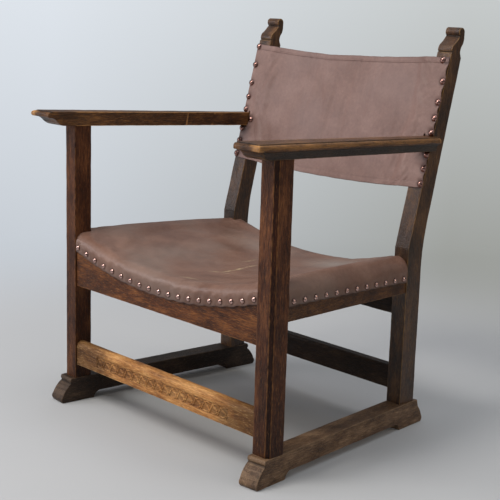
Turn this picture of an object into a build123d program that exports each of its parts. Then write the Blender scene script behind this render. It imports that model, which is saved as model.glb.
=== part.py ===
from build123d import *
import os
from math import asin, atan, cos, degrees, radians, sin, sqrt, tan

os.makedirs("parts", exist_ok=True)

# Oak fireside chair on sled feet, with a dished leather seat and a leather back.
# X runs across the chair, the front faces -Y, Z is up, and the origin is on the
# floor under the middle of the chair. Lengths are in millimetres, angles in degrees.

# Whole chair
overall_depth = 634.0
overall_height = 830.0
overrun = 12.0
tenon_gap = 0.1
upholstery_gap = 0.3

# Front legs
arm_overhang = 67.0
leg_outer = 321.2
leg_width = 40.2
leg_depth = 41.6
leg_chamfer = 7.2
leg_tenon_width = 20.0
leg_tenon_depth = 22.0
leg_tenon_length = 28.0
leg_tenon_top_share = 0.67

# Rear stiles
stile_outer = 280.2
stile_width = 36.4
stile_depth = 44.6
stile_kink_rise = 69.0
stile_rake = 14.36
stile_bend_drop = 45.0
stile_back_bend = 95.0
stile_back_rake = 13.3
stile_tenon_width = 18.0

# Stile tops: a grooved nose, a hollow slope and a round roll
finial_height = 50.0
finial_depth = 40.17
finial_groove = 2.6
finial_roll = 9.0
finial_roll_sweep = 215.0
finial_front_shares = ((0.03, 0.17), (0.13, 0.31), (0.36, 0.44), (0.585, 0.62))
finial_back_shares = (
    (1.0, 0.64),
    (0.90, 0.31),
    (0.76, 0.15),
    (0.72, -0.02),
    (0.775, -0.144),
    (0.827, -0.228),
)

# Sled feet
foot_height = 53.0
foot_width = 43.2
foot_reveal = 2.5
foot_turn = 4.9
foot_toe = 31.5
foot_heel = 32.8
foot_bead_height = 11.0
foot_bead_round = 2.5
foot_front_bead_set = 7.0
foot_rear_bead_set = 22.0
foot_relief = 14.5
foot_front_pad = 82.0
foot_rear_pad = 84.0
foot_front_ease = 13.0
foot_rear_ease = 10.0
front_ease_shares = (0.36, 0.60)
rear_ease_shares = (0.30, 0.70)
toe_shares = ((0.0, 1.0), (0.54, 0.70), (0.90, 0.34), (1.0, 0.14), (0.80, 0.0))

# Arms
arm_height = 634.0
arm_thickness = 29.4
arm_slope = 2.577
arm_outer = 330.7
arm_outer_turn = 4.745
arm_inner = 277.1
arm_inner_turn = 2.045
arm_nose = 7.8
arm_tail = 3.95
arm_top_step = 1.6
arm_nose_centre = 8.6
arm_nose_bottom = 13.0
arm_side_hollow = 12.0
arm_front_hollow = 43.0
arm_tenon_width = 11.0
arm_tenon_height = 16.0
arm_tenon_length = 22.0
arm_tenon_root = 14.0
arm_tenon_share = 0.72
ovolo_shares = (0.79, 0.40)
nose_under_shares = (0.96, 0.55)
lip_share = 0.72
side_hollow_shares = ((0.52, 0.10), (0.66, 0.34), (0.80, 0.62), (0.93, 0.85))
front_hollow_shares = ((0.17, 0.0), (0.34, 0.12), (0.56, 0.62), (0.73, 0.90))

# Stretchers
stretcher_set_back = 3.6
front_stretcher_low = 83.0
front_stretcher_shoulder = 123.4
front_stretcher_crest = 136.0
front_stretcher_thickness = 26.0
rear_stretcher_low = 79.2
rear_stretcher_high = 128.4
rear_stretcher_thickness = 25.0
rear_set_back = 6.0
edge_round = 6.0
stretcher_tenon_length = 20.0
stretcher_tenon_shoulder = 8.0

# Seat rails
rail_thickness = 25.0
rail_tenon_thickness = 10.0
front_rail_depth = 56.4
front_tenon_length = 20.0
rear_rail_depth = 74.0
rear_tenon_length = 16.0
side_rail_thickness = 22.0
side_rail_reveal = 2.0
side_rail_front_drop = 10.5
side_rail_front_rise = 36.0
side_rail_rear_drop = 22.5
side_rail_rear_rise = 27.0
side_rail_round = 8.0
side_tenon_length = 24.0
side_tenon_edge = 4.4
rail_tenon_shoulder = 9.0

# Dished seat: the webbing bears on a slack hollow cut across the rails. Heights
# of the seat are set above or below the middle of that hollow at the front.
dish_height = 316.0
dish_radius = 1000.0
dish_slope = 1.03
web_width = 50.0
web_thickness = 2.0
web_pitch = 90.0
web_slack = 8.0
web_lap = 15.0
web_count = 5
cross_web_count = 4
cloth_thickness = 1.0
cloth_set_in = 13.0

# Seat cover
leather_thickness = 2.2
cover_front_crest_rise = 63.5
cover_rear_crest_rise = 52.0
cover_front_hollow_rise = 22.0
cover_rear_hollow_rise = 11.0
cover_shoulder = 27.0
cover_shoulder_angle = 40.0
cover_front_roll = 22.0
cover_rear_roll = 16.0
cover_skirt = 80.0
front_edge_drop = 22.4
rear_edge_drop = 32.0
edge_radius = 927.0
side_edge_front_rise = 19.0
side_edge_rear_rise = 0.4

# Leather back
back_thickness = 2.5
back_half_width = 281.0
back_low = 119.0
back_low_rise = 9.0
back_top_gap = 9.7
back_high_rise = 12.0
back_sag = 6.0
back_arm_gap = 0.8

# Domed nails
seat_nail_radius = 4.75
seat_nail_dome = 3.0
back_nail_radius = 6.35
back_nail_dome = 4.2
nail_shank_radius = 0.9
nail_length = 15.0
nail_point = 3.0
nail_gap = 0.05
nail_above_edge = 10.7
side_nail_above_edge = 8.6
front_nail_count = 19
front_nail_reach = 272.0
side_nail_count = 12
side_nail_inset = 13.0
rear_nail_count = 15
rear_nail_reach = 231.0
back_nail_line = 275.0
back_nail_inner_line = 252.0
back_nail_clearance = 0.3
back_nail_shares = (0.061, 0.173, 0.277, 0.439, 0.547, 0.665, 0.820, 0.975)
back_inner_nail_share = 0.49

# Webbing tacks
tack_radius = 2.6
tack_head = 0.7
tack_shank_radius = 0.7
tack_length = 9.0
tack_spread = 15.0
tack_inset = 9.0

# Places worked out from the sizes
stile_kink_height = dish_height + stile_kink_rise
finial_base_y = overall_depth / 2 - finial_depth
finial_base_z = overall_height - finial_height
leg_front = arm_overhang - overall_depth / 2
leg_back = leg_front + leg_depth
leg_inner = leg_outer - leg_width
stile_front = finial_base_y - (finial_base_z - stile_kink_height) * tan(radians(stile_rake))
leg_to_stile = stile_front - leg_front
stile_back = stile_front + stile_depth
stile_inner = stile_outer - stile_width
rail_front = leg_front + stretcher_set_back
rail_back = rail_front + rail_thickness
rear_rail_front = stile_front + rear_set_back
rear_rail_back = rear_rail_front + rail_thickness
front_rail_low = dish_height - front_rail_depth
rear_rail_low = dish_height - rear_rail_depth
side_rail_front_low = dish_height - side_rail_front_drop
side_rail_front_high = dish_height + side_rail_front_rise
side_rail_rear_low = dish_height - side_rail_rear_drop
side_rail_rear_high = dish_height + side_rail_rear_rise
cover_front_crest = dish_height + cover_front_crest_rise
cover_rear_crest = dish_height + cover_rear_crest_rise
cover_front_hollow = dish_height + cover_front_hollow_rise
cover_rear_hollow = dish_height + cover_rear_hollow_rise
front_edge_height = dish_height - front_edge_drop
rear_edge_height = dish_height - rear_edge_drop
side_edge_front = dish_height + side_edge_front_rise
side_edge_rear = dish_height + side_edge_rear_rise
leg_middle = (leg_outer + leg_inner) / 2
stile_middle = (stile_outer + stile_inner) / 2
side_rail_front_outer = leg_outer - side_rail_reveal
side_rail_rear_outer = stile_outer - side_rail_reveal
side_rail_run = stile_front - leg_back
side_rail_turn = degrees(atan((side_rail_front_outer - side_rail_rear_outer) / side_rail_run))
cover_gap = leather_thickness + upholstery_gap
arm_plane = Plane(
    origin=(0, leg_front, arm_height),
    x_dir=(1, 0, 0),
    z_dir=(0, sin(radians(arm_slope)), cos(radians(arm_slope))),
)
arm_underside = arm_plane.offset(-arm_thickness)
stile_face = Plane(
    origin=(0, stile_front, stile_kink_height),
    x_dir=(1, 0, 0),
    z_dir=(0, -cos(radians(stile_rake)), sin(radians(stile_rake))),
)
dish_plane = Plane(
    origin=(0, leg_front, dish_height),
    x_dir=(1, 0, 0),
    z_dir=(0, -cos(radians(dish_slope)), sin(radians(dish_slope))),
)


def stile_face_y(height):
    return stile_front + (height - stile_kink_height) * tan(radians(stile_rake))


def dish_rise(across, radius=dish_radius):
    return radius - sqrt(radius**2 - across**2)


def between(low, high, share):
    return low + (high - low) * share


def block(x, y, z, grow=0, mode=Mode.ADD):
    with Locations(((x[0] + x[1]) / 2, (y[0] + y[1]) / 2, (z[0] + z[1]) / 2)):
        Box(x[1] - x[0] + 2 * grow, y[1] - y[0] + 2 * grow, z[1] - z[0] + 2 * grow, mode=mode)


def mortise(tenon):
    block(*tenon, grow=tenon_gap, mode=Mode.SUBTRACT)


def export(part, name):
    part.label = name
    export_step(part, f"parts/{name}.step")


def export_pair(right_part, name):
    export(right_part, name + "_right")
    with BuildPart() as left:
        mirror(right_part, about=Plane.YZ)
    export(left.part, name + "_left")


# Tenons as low and high limits along X, Y and Z. Each starts inside its own
# rail or leg, and the same limits cut the mortise.
leg_tenon_x = (leg_middle - leg_tenon_width / 2, leg_middle + leg_tenon_width / 2)
leg_tenon_y = (
    (leg_front + leg_back - leg_tenon_depth) / 2,
    (leg_front + leg_back + leg_tenon_depth) / 2,
)
leg_foot_tenon = (leg_tenon_x, leg_tenon_y, (foot_height - leg_tenon_length, foot_height + overrun))
leg_arm_tenon = (
    leg_tenon_x,
    leg_tenon_y,
    (
        arm_height - arm_thickness - overrun,
        between(arm_height - arm_thickness, arm_height, leg_tenon_top_share),
    ),
)
stile_tenon_y = (
    (stile_front + stile_back - leg_tenon_depth) / 2,
    (stile_front + stile_back + leg_tenon_depth) / 2,
)
stile_foot_tenon = (
    (stile_middle - stile_tenon_width / 2, stile_middle + stile_tenon_width / 2),
    stile_tenon_y,
    (foot_height - leg_tenon_length, foot_height + overrun),
)
arm_end_y = stile_face_y(arm_height - leg_to_stile * sin(radians(arm_slope)))
arm_end_middle = arm_height - arm_thickness / 2 - (arm_end_y - leg_front) * sin(radians(arm_slope))
arm_tenon_middle = between(stile_inner, stile_outer, arm_tenon_share)
arm_rear = (arm_end_y - leg_front) / cos(radians(arm_slope)) + arm_tail
arm_stile_tenon = (
    (arm_tenon_middle - arm_tenon_width / 2, arm_tenon_middle + arm_tenon_width / 2),
    (arm_end_y - arm_tenon_root, arm_end_y + arm_tenon_length),
    (arm_end_middle - arm_tenon_height / 2, arm_end_middle + arm_tenon_height / 2),
)


def rail_tenon(end_x, length, front, thickness, low, high):
    middle = front + thickness / 2
    half = rail_tenon_thickness / 2
    return ((end_x - overrun, end_x + length), (middle - half, middle + half), (low, high))


front_stretcher_tenon = rail_tenon(
    leg_inner,
    stretcher_tenon_length,
    rail_front,
    front_stretcher_thickness,
    front_stretcher_low + stretcher_tenon_shoulder,
    front_stretcher_shoulder - stretcher_tenon_shoulder / 2,
)
rear_stretcher_tenon = rail_tenon(
    stile_inner,
    stretcher_tenon_length,
    rear_rail_front,
    rear_stretcher_thickness,
    rear_stretcher_low + stretcher_tenon_shoulder,
    rear_stretcher_high - stretcher_tenon_shoulder,
)
front_rail_tenon = rail_tenon(
    leg_inner,
    front_tenon_length,
    rail_front,
    rail_thickness,
    front_rail_low + rail_tenon_shoulder,
    dish_height + dish_rise(leg_inner - overrun) - rail_tenon_shoulder,
)
rear_rail_tenon = rail_tenon(
    stile_inner,
    rear_tenon_length,
    rear_rail_front,
    rail_thickness,
    rear_rail_low + rail_tenon_shoulder,
    dish_height + dish_rise(stile_inner - overrun) - 2 * rail_tenon_shoulder,
)


def side_tenon(outer, face, towards, low, high):
    x = (outer - side_tenon_edge - rail_tenon_thickness, outer - side_tenon_edge)
    # towards is -1 for the end at the leg and 1 for the end at the stile
    y = tuple(sorted((face - towards * overrun, face + towards * side_tenon_length)))
    return (x, y, (low + rail_tenon_shoulder, high - rail_tenon_shoulder))


side_front_tenon = side_tenon(side_rail_front_outer, leg_back, -1, side_rail_front_low, side_rail_front_high)
side_rear_tenon = side_tenon(side_rail_rear_outer, stile_front, 1, side_rail_rear_low, side_rail_rear_high)

# Domed nails, made once with the leather at Z = 0 and placed in rows


def domed_nail(radius, dome):
    with BuildPart() as nail:
        with BuildSketch(Plane.XZ):
            with BuildLine():
                cap = RadiusArc((radius, 0), (0, dome), -(radius**2 + dome**2) / (2 * dome))
                Polyline(
                    cap @ 1,
                    (0, -nail_length),
                    (nail_shank_radius, nail_point - nail_length),
                    (nail_shank_radius, 0),
                    cap @ 0,
                )
            make_face()
        revolve(axis=Axis.Z)
    return nail.part


def nail_holes(places):
    with Locations(*places):
        Cylinder(
            nail_shank_radius + nail_gap,
            2 * (nail_length + nail_gap),
            mode=Mode.SUBTRACT,
        )


seat_nail = domed_nail(seat_nail_radius, seat_nail_dome)
back_nail = domed_nail(back_nail_radius, back_nail_dome)


def row_places(plane, count, reach, centre_height):
    places = []
    for index in range(count):
        across = between(-reach, reach, index / (count - 1))
        height = centre_height + dish_rise(across, edge_radius)
        places.append(plane.location * Location((across, height, 0)))
    return places


front_cover_plane = Plane(origin=(0, rail_front - cover_gap, 0), x_dir=(1, 0, 0), z_dir=(0, -1, 0))
rear_cover_plane = Plane(origin=(0, rear_rail_back + cover_gap, 0), x_dir=(-1, 0, 0), z_dir=(0, 1, 0))
front_nails = row_places(
    front_cover_plane, front_nail_count, front_nail_reach, front_edge_height + nail_above_edge
)
rear_nails = row_places(
    rear_cover_plane, rear_nail_count, rear_nail_reach, rear_edge_height + nail_above_edge
)


def side_nail_places(side):
    # side is 1 on the right and -1 on the left
    turn = radians(side_rail_turn)
    plane = Plane(
        origin=(side * (side_rail_front_outer + cover_gap / cos(turn)), leg_back, 0),
        x_dir=(-side * sin(turn), cos(turn), 0),
        z_dir=(side * cos(turn), sin(turn), 0),
    )
    run = side_rail_run / cos(turn)
    places = []
    for index in range(side_nail_count):
        along = between(side_nail_inset, run - side_nail_inset, index / (side_nail_count - 1))
        height = between(side_edge_front, side_edge_rear, along / run) + side_nail_above_edge
        places.append(plane.location * Location((along, side * height, 0)))
    return places


side_nails = side_nail_places(1)

# The leather back is set out along the raked face of the stiles. A nail that
# the end of the arm would cover is left out, and one sits inside that end.
back_high_ends = (finial_base_z - stile_kink_height) / cos(radians(stile_rake)) - back_top_gap
back_high = back_high_ends - back_high_rise
arm_end_high = (arm_end_middle + arm_thickness / 2 - stile_kink_height) / cos(radians(stile_rake))
arm_end_low = (arm_end_middle - arm_thickness / 2 - stile_kink_height) / cos(radians(stile_rake))


def back_nail_places(side):
    rows = [(back_nail_inner_line, between(arm_end_low, arm_end_high, back_inner_nail_share))]
    reach = back_nail_radius + back_nail_clearance
    for share in back_nail_shares:
        along = between(back_low, back_high_ends, share)
        if along < arm_end_low - reach or along > arm_end_high + reach:
            rows.append((back_nail_line, along))
    return [
        stile_face.location * Location((side * across, along, back_thickness)) for across, along in rows
    ]


back_nails = back_nail_places(1)

# Webbing tacks follow the tilt of the strip that they hold


def dish_place(across, along, lift):
    swing = degrees(asin(across / dish_radius))
    rise = dish_rise(across)
    return dish_plane.location * Location((across, lift + rise, -along), (0, 0, swing)) * Location(
        (0, 0, 0), (-90, 0, 0)
    )


long_tacks = []
web_front_along = tack_inset + rail_front - leg_front
web_rear_along = rear_rail_back - tack_inset - leg_front
for strip in range(web_count):
    strip_middle = (strip - (web_count - 1) / 2) * web_pitch
    for spread in (-tack_spread, 0, tack_spread):
        for along in (web_front_along, web_rear_along):
            long_tacks.append(dish_place(strip_middle + spread, along, web_thickness))


def side_rail_x(y, inwards):
    share = (y - leg_back) / side_rail_run
    return between(side_rail_front_outer, side_rail_rear_outer, share) - inwards


def side_rail_top(y):
    return between(side_rail_front_high, side_rail_rear_high, (y - leg_back) / side_rail_run)


side_top_slope = degrees(atan((side_rail_front_high - side_rail_rear_high) / side_rail_run))
cross_web_pitch = side_rail_run / cross_web_count
cross_middles = []
cross_tacks = []
for strip in range(cross_web_count):
    strip_middle = (leg_back + stile_front) / 2 + (strip - (cross_web_count - 1) / 2) * cross_web_pitch
    cross_middles.append(strip_middle)
    for spread in (-tack_spread, 0, tack_spread):
        y = strip_middle + spread
        x = side_rail_x(y, side_rail_thickness - web_lap / 2)
        z = side_rail_top(y) + web_thickness
        cross_tacks.append(Location((x, y, z), (-side_top_slope, 0, 0)))
        cross_tacks.append(Location((-x, y, z), (-side_top_slope, 0, 0)))


def tack_holes(places):
    with Locations(*places):
        Cylinder(
            tack_shank_radius + nail_gap,
            2 * (tack_length + nail_gap),
            mode=Mode.SUBTRACT,
        )


# Sled foot: a long rail turned in towards the rear, hollowed underneath between
# two pads, with a beaded round toe at each end
foot_plane = Plane(
    origin=(leg_outer + foot_reveal, leg_front, 0),
    x_dir=(-sin(radians(foot_turn)), cos(radians(foot_turn)), 0),
    z_dir=(cos(radians(foot_turn)), sin(radians(foot_turn)), 0),
)
heel_tip = (stile_back - leg_front) / cos(radians(foot_turn)) + foot_heel
toe_low = foot_height - foot_bead_height


def toe_point(start, run, share):
    return (start + run * share[0], toe_low * share[1])


with BuildPart() as sled_foot:
    with BuildSketch(foot_plane):
        front_start = -foot_front_bead_set
        front_run = foot_front_bead_set - foot_toe
        rear_start = heel_tip - foot_rear_bead_set
        toe = [toe_point(front_start, front_run, share) for share in toe_shares]
        heel = [toe_point(rear_start, foot_rear_bead_set, share) for share in toe_shares]
        relief_front = foot_front_pad - foot_toe
        relief_rear = heel_tip - foot_rear_pad
        with BuildLine():
            front_bead = ThreePointArc(
                (front_start, foot_height),
                (front_start - foot_bead_round, foot_height - foot_bead_height / 2),
                toe[0],
            )
            ThreePointArc(toe[0], toe[1], toe[2])
            ThreePointArc(toe[2], toe[3], toe[4])
            Line(toe[4], (relief_front, 0))
            front_ease = ThreePointArc(
                (relief_front, 0),
                (relief_front + foot_front_ease * front_ease_shares[0], foot_relief * front_ease_shares[1]),
                (relief_front + foot_front_ease, foot_relief),
            )
            rear_ease = ThreePointArc(
                (relief_rear - foot_rear_ease, foot_relief),
                (relief_rear - foot_rear_ease * rear_ease_shares[0], foot_relief * rear_ease_shares[1]),
                (relief_rear, 0),
            )
            Line(front_ease @ 1, rear_ease @ 0)
            Line(rear_ease @ 1, heel[4])
            ThreePointArc(heel[4], heel[3], heel[2])
            ThreePointArc(heel[2], heel[1], heel[0])
            rear_bead = ThreePointArc(
                heel[0],
                (rear_start + foot_bead_round, foot_height - foot_bead_height / 2),
                (rear_start, foot_height),
            )
            Line(rear_bead @ 1, front_bead @ 0)
        make_face()
    extrude(amount=-foot_width)
    mortise(leg_foot_tenon)
    mortise(stile_foot_tenon)
export_pair(sled_foot.part, "sled_foot")

# Front leg: a square post with its outer front corner taken off
with BuildPart() as front_leg:
    block((leg_inner, leg_outer), (leg_front, leg_back), (foot_height, arm_height))
    outer_corner = front_leg.edges().filter_by(Axis.Z).group_by(Axis.Y)[0].sort_by(Axis.X)[-1]
    chamfer(outer_corner, length=leg_chamfer)
    split(bisect_by=arm_underside, keep=Keep.BOTTOM)
    block(*leg_foot_tenon)
    block(*leg_arm_tenon)
    mortise(front_stretcher_tenon)
    mortise(front_rail_tenon)
    mortise(side_front_tenon)
export_pair(front_leg.part, "front_leg")

# Rear stile: upright below the seat, raked and tapered above it
stile_bend_radius = stile_back_bend / sin(radians(stile_back_rake))


def finial_point(share):
    return (finial_base_y + finial_depth * share[0], finial_base_z + finial_height * share[1])


with BuildPart() as rear_stile:
    with BuildSketch(Plane.YZ.offset(stile_inner)):
        front = [finial_point(share) for share in finial_front_shares]
        back = [finial_point(share) for share in finial_back_shares]
        groove_y = stile_face_y(finial_base_z)
        with BuildLine():
            Polyline(
                (stile_back, foot_height),
                (stile_front, foot_height),
                (stile_front, stile_kink_height),
                (groove_y, finial_base_z),
                (groove_y + finial_groove, finial_base_z + finial_groove / 2),
                (groove_y + finial_groove / 4, finial_base_z + finial_groove),
            )
            ThreePointArc(
                (groove_y + finial_groove / 4, finial_base_z + finial_groove),
                front[0],
                front[1],
            )
            ThreePointArc(front[1], front[2], front[3])
            roll_centre = (overall_depth / 2 - finial_roll, overall_height - finial_roll)
            roll = CenterArc(roll_centre, finial_roll, 0, finial_roll_sweep)
            Polyline(
                front[3],
                (front[3][0] + finial_groove, front[3][1] + finial_groove / 2),
                roll @ 1,
            )
            back_drop = Line(roll @ 0, back[0])
            TangentArc(back_drop @ 1, back[1], tangent=(0, -1))
            ThreePointArc(back[1], back[2], back[3])
            ThreePointArc(back[3], back[4], back[5])
            back_rise = Line((stile_back, foot_height), (stile_back, stile_kink_height - stile_bend_drop))
            back_bend = JernArc(back_rise @ 1, (0, 1), stile_bend_radius, -stile_back_rake)
            Line(back_bend @ 1, back[5])
        make_face()
    extrude(amount=stile_width)
    block(*stile_foot_tenon)
    mortise(rear_stretcher_tenon)
    mortise(rear_rail_tenon)
    mortise(side_rear_tenon)
    mortise(arm_stile_tenon)
    nail_holes(back_nails)
export_pair(rear_stile.part, "rear_stile")

# Arm: a board that narrows to the rear, moulded along its outer side and its
# front. The two mouldings are prisms that meet in a mitre at the corner.


def moulding_outline(plane, edge, outwards, inner_limit, hollow, hollow_shares):
    def place(out, depth):
        return (edge + outwards * out, -depth)

    points = [
        place(arm_nose - hollow * run, between(arm_nose_bottom, arm_thickness, drop))
        for run, drop in hollow_shares
    ]
    step = place(arm_top_step, arm_top_step)
    nose = place(arm_nose, arm_nose_centre)
    ovolo = place(arm_nose * ovolo_shares[0], arm_nose_centre * ovolo_shares[1])
    under = place(
        arm_nose * nose_under_shares[0], between(arm_nose_centre, arm_nose_bottom, nose_under_shares[1])
    )
    lip = place(arm_nose * lip_share, arm_nose_bottom)
    foot = place(arm_nose - hollow, arm_thickness)
    with BuildSketch(plane) as outline:
        with BuildLine():
            Polyline((inner_limit, 0), place(0, 0), place(0, arm_top_step), step)
            ThreePointArc(step, ovolo, nose)
            ThreePointArc(nose, under, lip)
            Line(lip, points[0])
            ThreePointArc(points[0], points[1], points[2])
            ThreePointArc(points[2], points[3], foot)
            Polyline(foot, (inner_limit, -arm_thickness), (inner_limit, 0))
        make_face()
    return outline.sketch


arm_side_section = Plane(
    arm_plane.location
    * Location((arm_outer, 0, 0), (0, 0, arm_outer_turn))
    * Location((0, 0, 0), (90, 0, 0))
)
arm_front_section = Plane(origin=arm_plane.origin, x_dir=arm_plane.y_dir, z_dir=arm_plane.x_dir)
arm_inner_face = Plane(
    arm_plane.location
    * Location((arm_inner, 0, 0), (0, 0, arm_inner_turn))
    * Location((0, 0, 0), (0, 90, 0))
)
arm_nose_drop = arm_nose_centre * sin(radians(arm_slope))
arm_front_edge = arm_nose - (arm_overhang - arm_nose_drop) / cos(radians(arm_slope))
with BuildPart() as arm:
    side_outline = moulding_outline(
        arm_side_section, 0, 1, -arm_outer / 2, arm_side_hollow, side_hollow_shares
    )
    extrude(side_outline, amount=overall_depth, both=True)
    front_outline = moulding_outline(
        arm_front_section, arm_front_edge, -1, arm_rear, arm_front_hollow, front_hollow_shares
    )
    extrude(front_outline, amount=overall_depth, both=True, mode=Mode.INTERSECT)
    split(bisect_by=arm_inner_face, keep=Keep.TOP)
    with BuildSketch(stile_face):
        with Locations(((stile_outer + tenon_gap) / 2, overall_height / 4)):
            Rectangle(stile_outer + tenon_gap, overall_height / 2)
    extrude(amount=-stile_depth * 2, mode=Mode.SUBTRACT)
    block(*arm_stile_tenon)
    mortise(leg_arm_tenon)
export_pair(arm.part, "arm")

# Front stretcher: a deep rail with a rounded top
with BuildPart() as front_stretcher:
    with BuildSketch(Plane.YZ):
        with BuildLine():
            stretcher_back = rail_front + front_stretcher_thickness
            crest = ThreePointArc(
                (rail_front, front_stretcher_shoulder),
                ((rail_front + stretcher_back) / 2, front_stretcher_crest),
                (stretcher_back, front_stretcher_shoulder),
            )
            Polyline(
                crest @ 1,
                (stretcher_back, front_stretcher_low),
                (rail_front, front_stretcher_low),
                crest @ 0,
            )
        make_face()
    extrude(amount=leg_inner, both=True)
    block(*front_stretcher_tenon)
    mirror(about=Plane.YZ)
export(front_stretcher.part, "front_stretcher")

# Rear stretcher: a plain rail with eased top edges
with BuildPart() as rear_stretcher:
    block(
        (-stile_inner, stile_inner),
        (rear_rail_front, rear_rail_front + rear_stretcher_thickness),
        (rear_stretcher_low, rear_stretcher_high),
    )
    top_edges = rear_stretcher.faces().sort_by(Axis.Z)[-1].edges().filter_by(Axis.X)
    fillet(top_edges, radius=edge_round)
    block(*rear_stretcher_tenon)
    mirror(about=Plane.YZ)
export(rear_stretcher.part, "rear_stretcher")

# Seat rails: the front and rear ones are hollowed along their top edges


def cut_above_dish(lift):
    reach = leg_outer
    with BuildSketch(dish_plane) as section:
        with BuildLine():
            hollow = ThreePointArc(
                (-reach, lift + dish_rise(reach)), (0, lift), (reach, lift + dish_rise(reach))
            )
            Polyline(hollow @ 1, (reach, overall_height), (-reach, overall_height), hollow @ 0)
        make_face()
    extrude(section.sketch, amount=-overall_depth, mode=Mode.SUBTRACT)


def dished_rail(half_length, front, low, tenon, nails, tacks):
    with BuildPart() as rail:
        block((-half_length, half_length), (front, front + rail_thickness), (low, overall_height / 2))
        cut_above_dish(0)
        block(*tenon)
        mirror(about=Plane.YZ)
        nail_holes(nails)
        tack_holes(tacks)
    return rail.part


export(
    dished_rail(leg_inner, rail_front, front_rail_low, front_rail_tenon, front_nails, long_tacks),
    "front_seat_rail",
)
export(
    dished_rail(stile_inner, rear_rail_front, rear_rail_low, rear_rail_tenon, rear_nails, long_tacks),
    "rear_seat_rail",
)

with BuildPart() as side_rail:
    for y, outer, low, high in (
        (leg_back, side_rail_front_outer, side_rail_front_low, side_rail_front_high),
        (stile_front, side_rail_rear_outer, side_rail_rear_low, side_rail_rear_high),
    ):
        with BuildSketch(Plane.XZ.offset(-y)):
            with Locations((outer - side_rail_thickness / 2, (low + high) / 2)):
                Rectangle(side_rail_thickness, high - low)
    loft(ruled=True)
    top_outer_edge = side_rail.faces().sort_by(Axis.Z)[-1].edges().sort_by(Axis.X)[-1]
    fillet(top_outer_edge, radius=side_rail_round)
    block(*side_front_tenon)
    block(*side_rear_tenon)
    nail_holes(side_nails)
    tack_holes(cross_tacks)
export_pair(side_rail.part, "side_seat_rail")

# Webbing: strips from front to rear on the dished rails, and strips across
# underneath them from side rail to side rail


def gaps(middles, width, reach):
    edges = [-reach]
    for middle in middles:
        edges += [middle - width / 2, middle + width / 2]
    edges.append(reach)
    return [(edges[i], edges[i + 1]) for i in range(0, len(edges), 2)]


def dished_sheet(lift, thickness, half_width, front, rear):
    with BuildSketch(dish_plane.offset(leg_front - front)) as section:
        with BuildLine():
            end = lift + dish_rise(half_width)
            under = ThreePointArc((-half_width, end), (0, lift), (half_width, end))
            over = ThreePointArc(
                (-half_width, end + thickness), (0, lift + thickness), (half_width, end + thickness)
            )
            Line(under @ 0, over @ 0)
            Line(under @ 1, over @ 1)
        make_face()
    extrude(section.sketch, amount=front - rear)


web_middles = [(strip - (web_count - 1) / 2) * web_pitch for strip in range(web_count)]
web_reach = web_middles[-1] + web_width / 2
with BuildPart() as long_webbing:
    dished_sheet(0, web_thickness, web_reach, rail_front + tack_inset / 2, rear_rail_back - tack_inset / 2)
    for low, high in gaps(web_middles, web_width, web_reach)[1:-1]:
        block((low, high), (leg_front, stile_back), (0, overall_height), mode=Mode.SUBTRACT)
    tack_holes(long_tacks)
export(long_webbing.part, "webbing_front_to_rear")

with BuildPart() as cross_webbing:
    for middle in cross_middles:
        strip_front = middle - web_width / 2
        strip_rear = middle + web_width / 2
        inner = side_rail_x(strip_rear, side_rail_thickness)
        rest = side_rail_top(strip_front)
        dish_low = dish_height - (strip_rear - leg_front) * sin(radians(dish_slope)) - web_slack
        sag = dish_low - 2 * web_thickness - rest
        strip_plane = Plane(
            origin=(0, strip_front, rest),
            x_dir=(1, 0, 0),
            z_dir=(0, -cos(radians(side_top_slope)), sin(radians(side_top_slope))),
        )
        with BuildSketch(strip_plane):
            with BuildLine():
                under = ThreePointArc((-inner, 0), (0, sag), (inner, 0))
                over = ThreePointArc(
                    (-inner, web_thickness), (0, sag + web_thickness), (inner, web_thickness)
                )
                for side in (0, 1):
                    lap = (2 * side - 1) * (inner + web_lap)
                    Polyline(under @ side, (lap, 0), (lap, web_thickness), over @ side)
            make_face()
        extrude(amount=-web_width)
    tack_holes(cross_tacks)
export(cross_webbing.part, "webbing_side_to_side")

with BuildPart() as tack:
    Cylinder(tack_radius, tack_head, align=(Align.CENTER, Align.CENTER, Align.MIN))
    Cylinder(tack_shank_radius, tack_length, align=(Align.CENTER, Align.CENTER, Align.MAX))
with BuildPart() as webbing_tacks:
    with Locations(*long_tacks, *cross_tacks):
        add(tack.part)
export(webbing_tacks.part, "webbing_tacks")

# Seat cover form, drawn in by inset on every covered side: dished across, with
# rolled sides, front and rear, and cut out around the legs and stiles
cover_front = rail_front - cover_gap
cover_rear = rear_rail_back + cover_gap


def cover_side(y):
    return side_rail_x(y, 0) + cover_gap / cos(radians(side_rail_turn))


def cut_for_posts():
    # Open to the front around the legs, and to the rear around the stiles
    far = leg_outer + leg_width
    for inner, low, high in (
        (leg_inner, leg_front - leg_depth, leg_back + upholstery_gap),
        (stile_inner, stile_front - upholstery_gap, stile_back + stile_depth),
    ):
        near = inner - upholstery_gap
        block((near, far), (low, high), (0, overall_height), mode=Mode.SUBTRACT)
        block((-far, -near), (low, high), (0, overall_height), mode=Mode.SUBTRACT)


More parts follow.
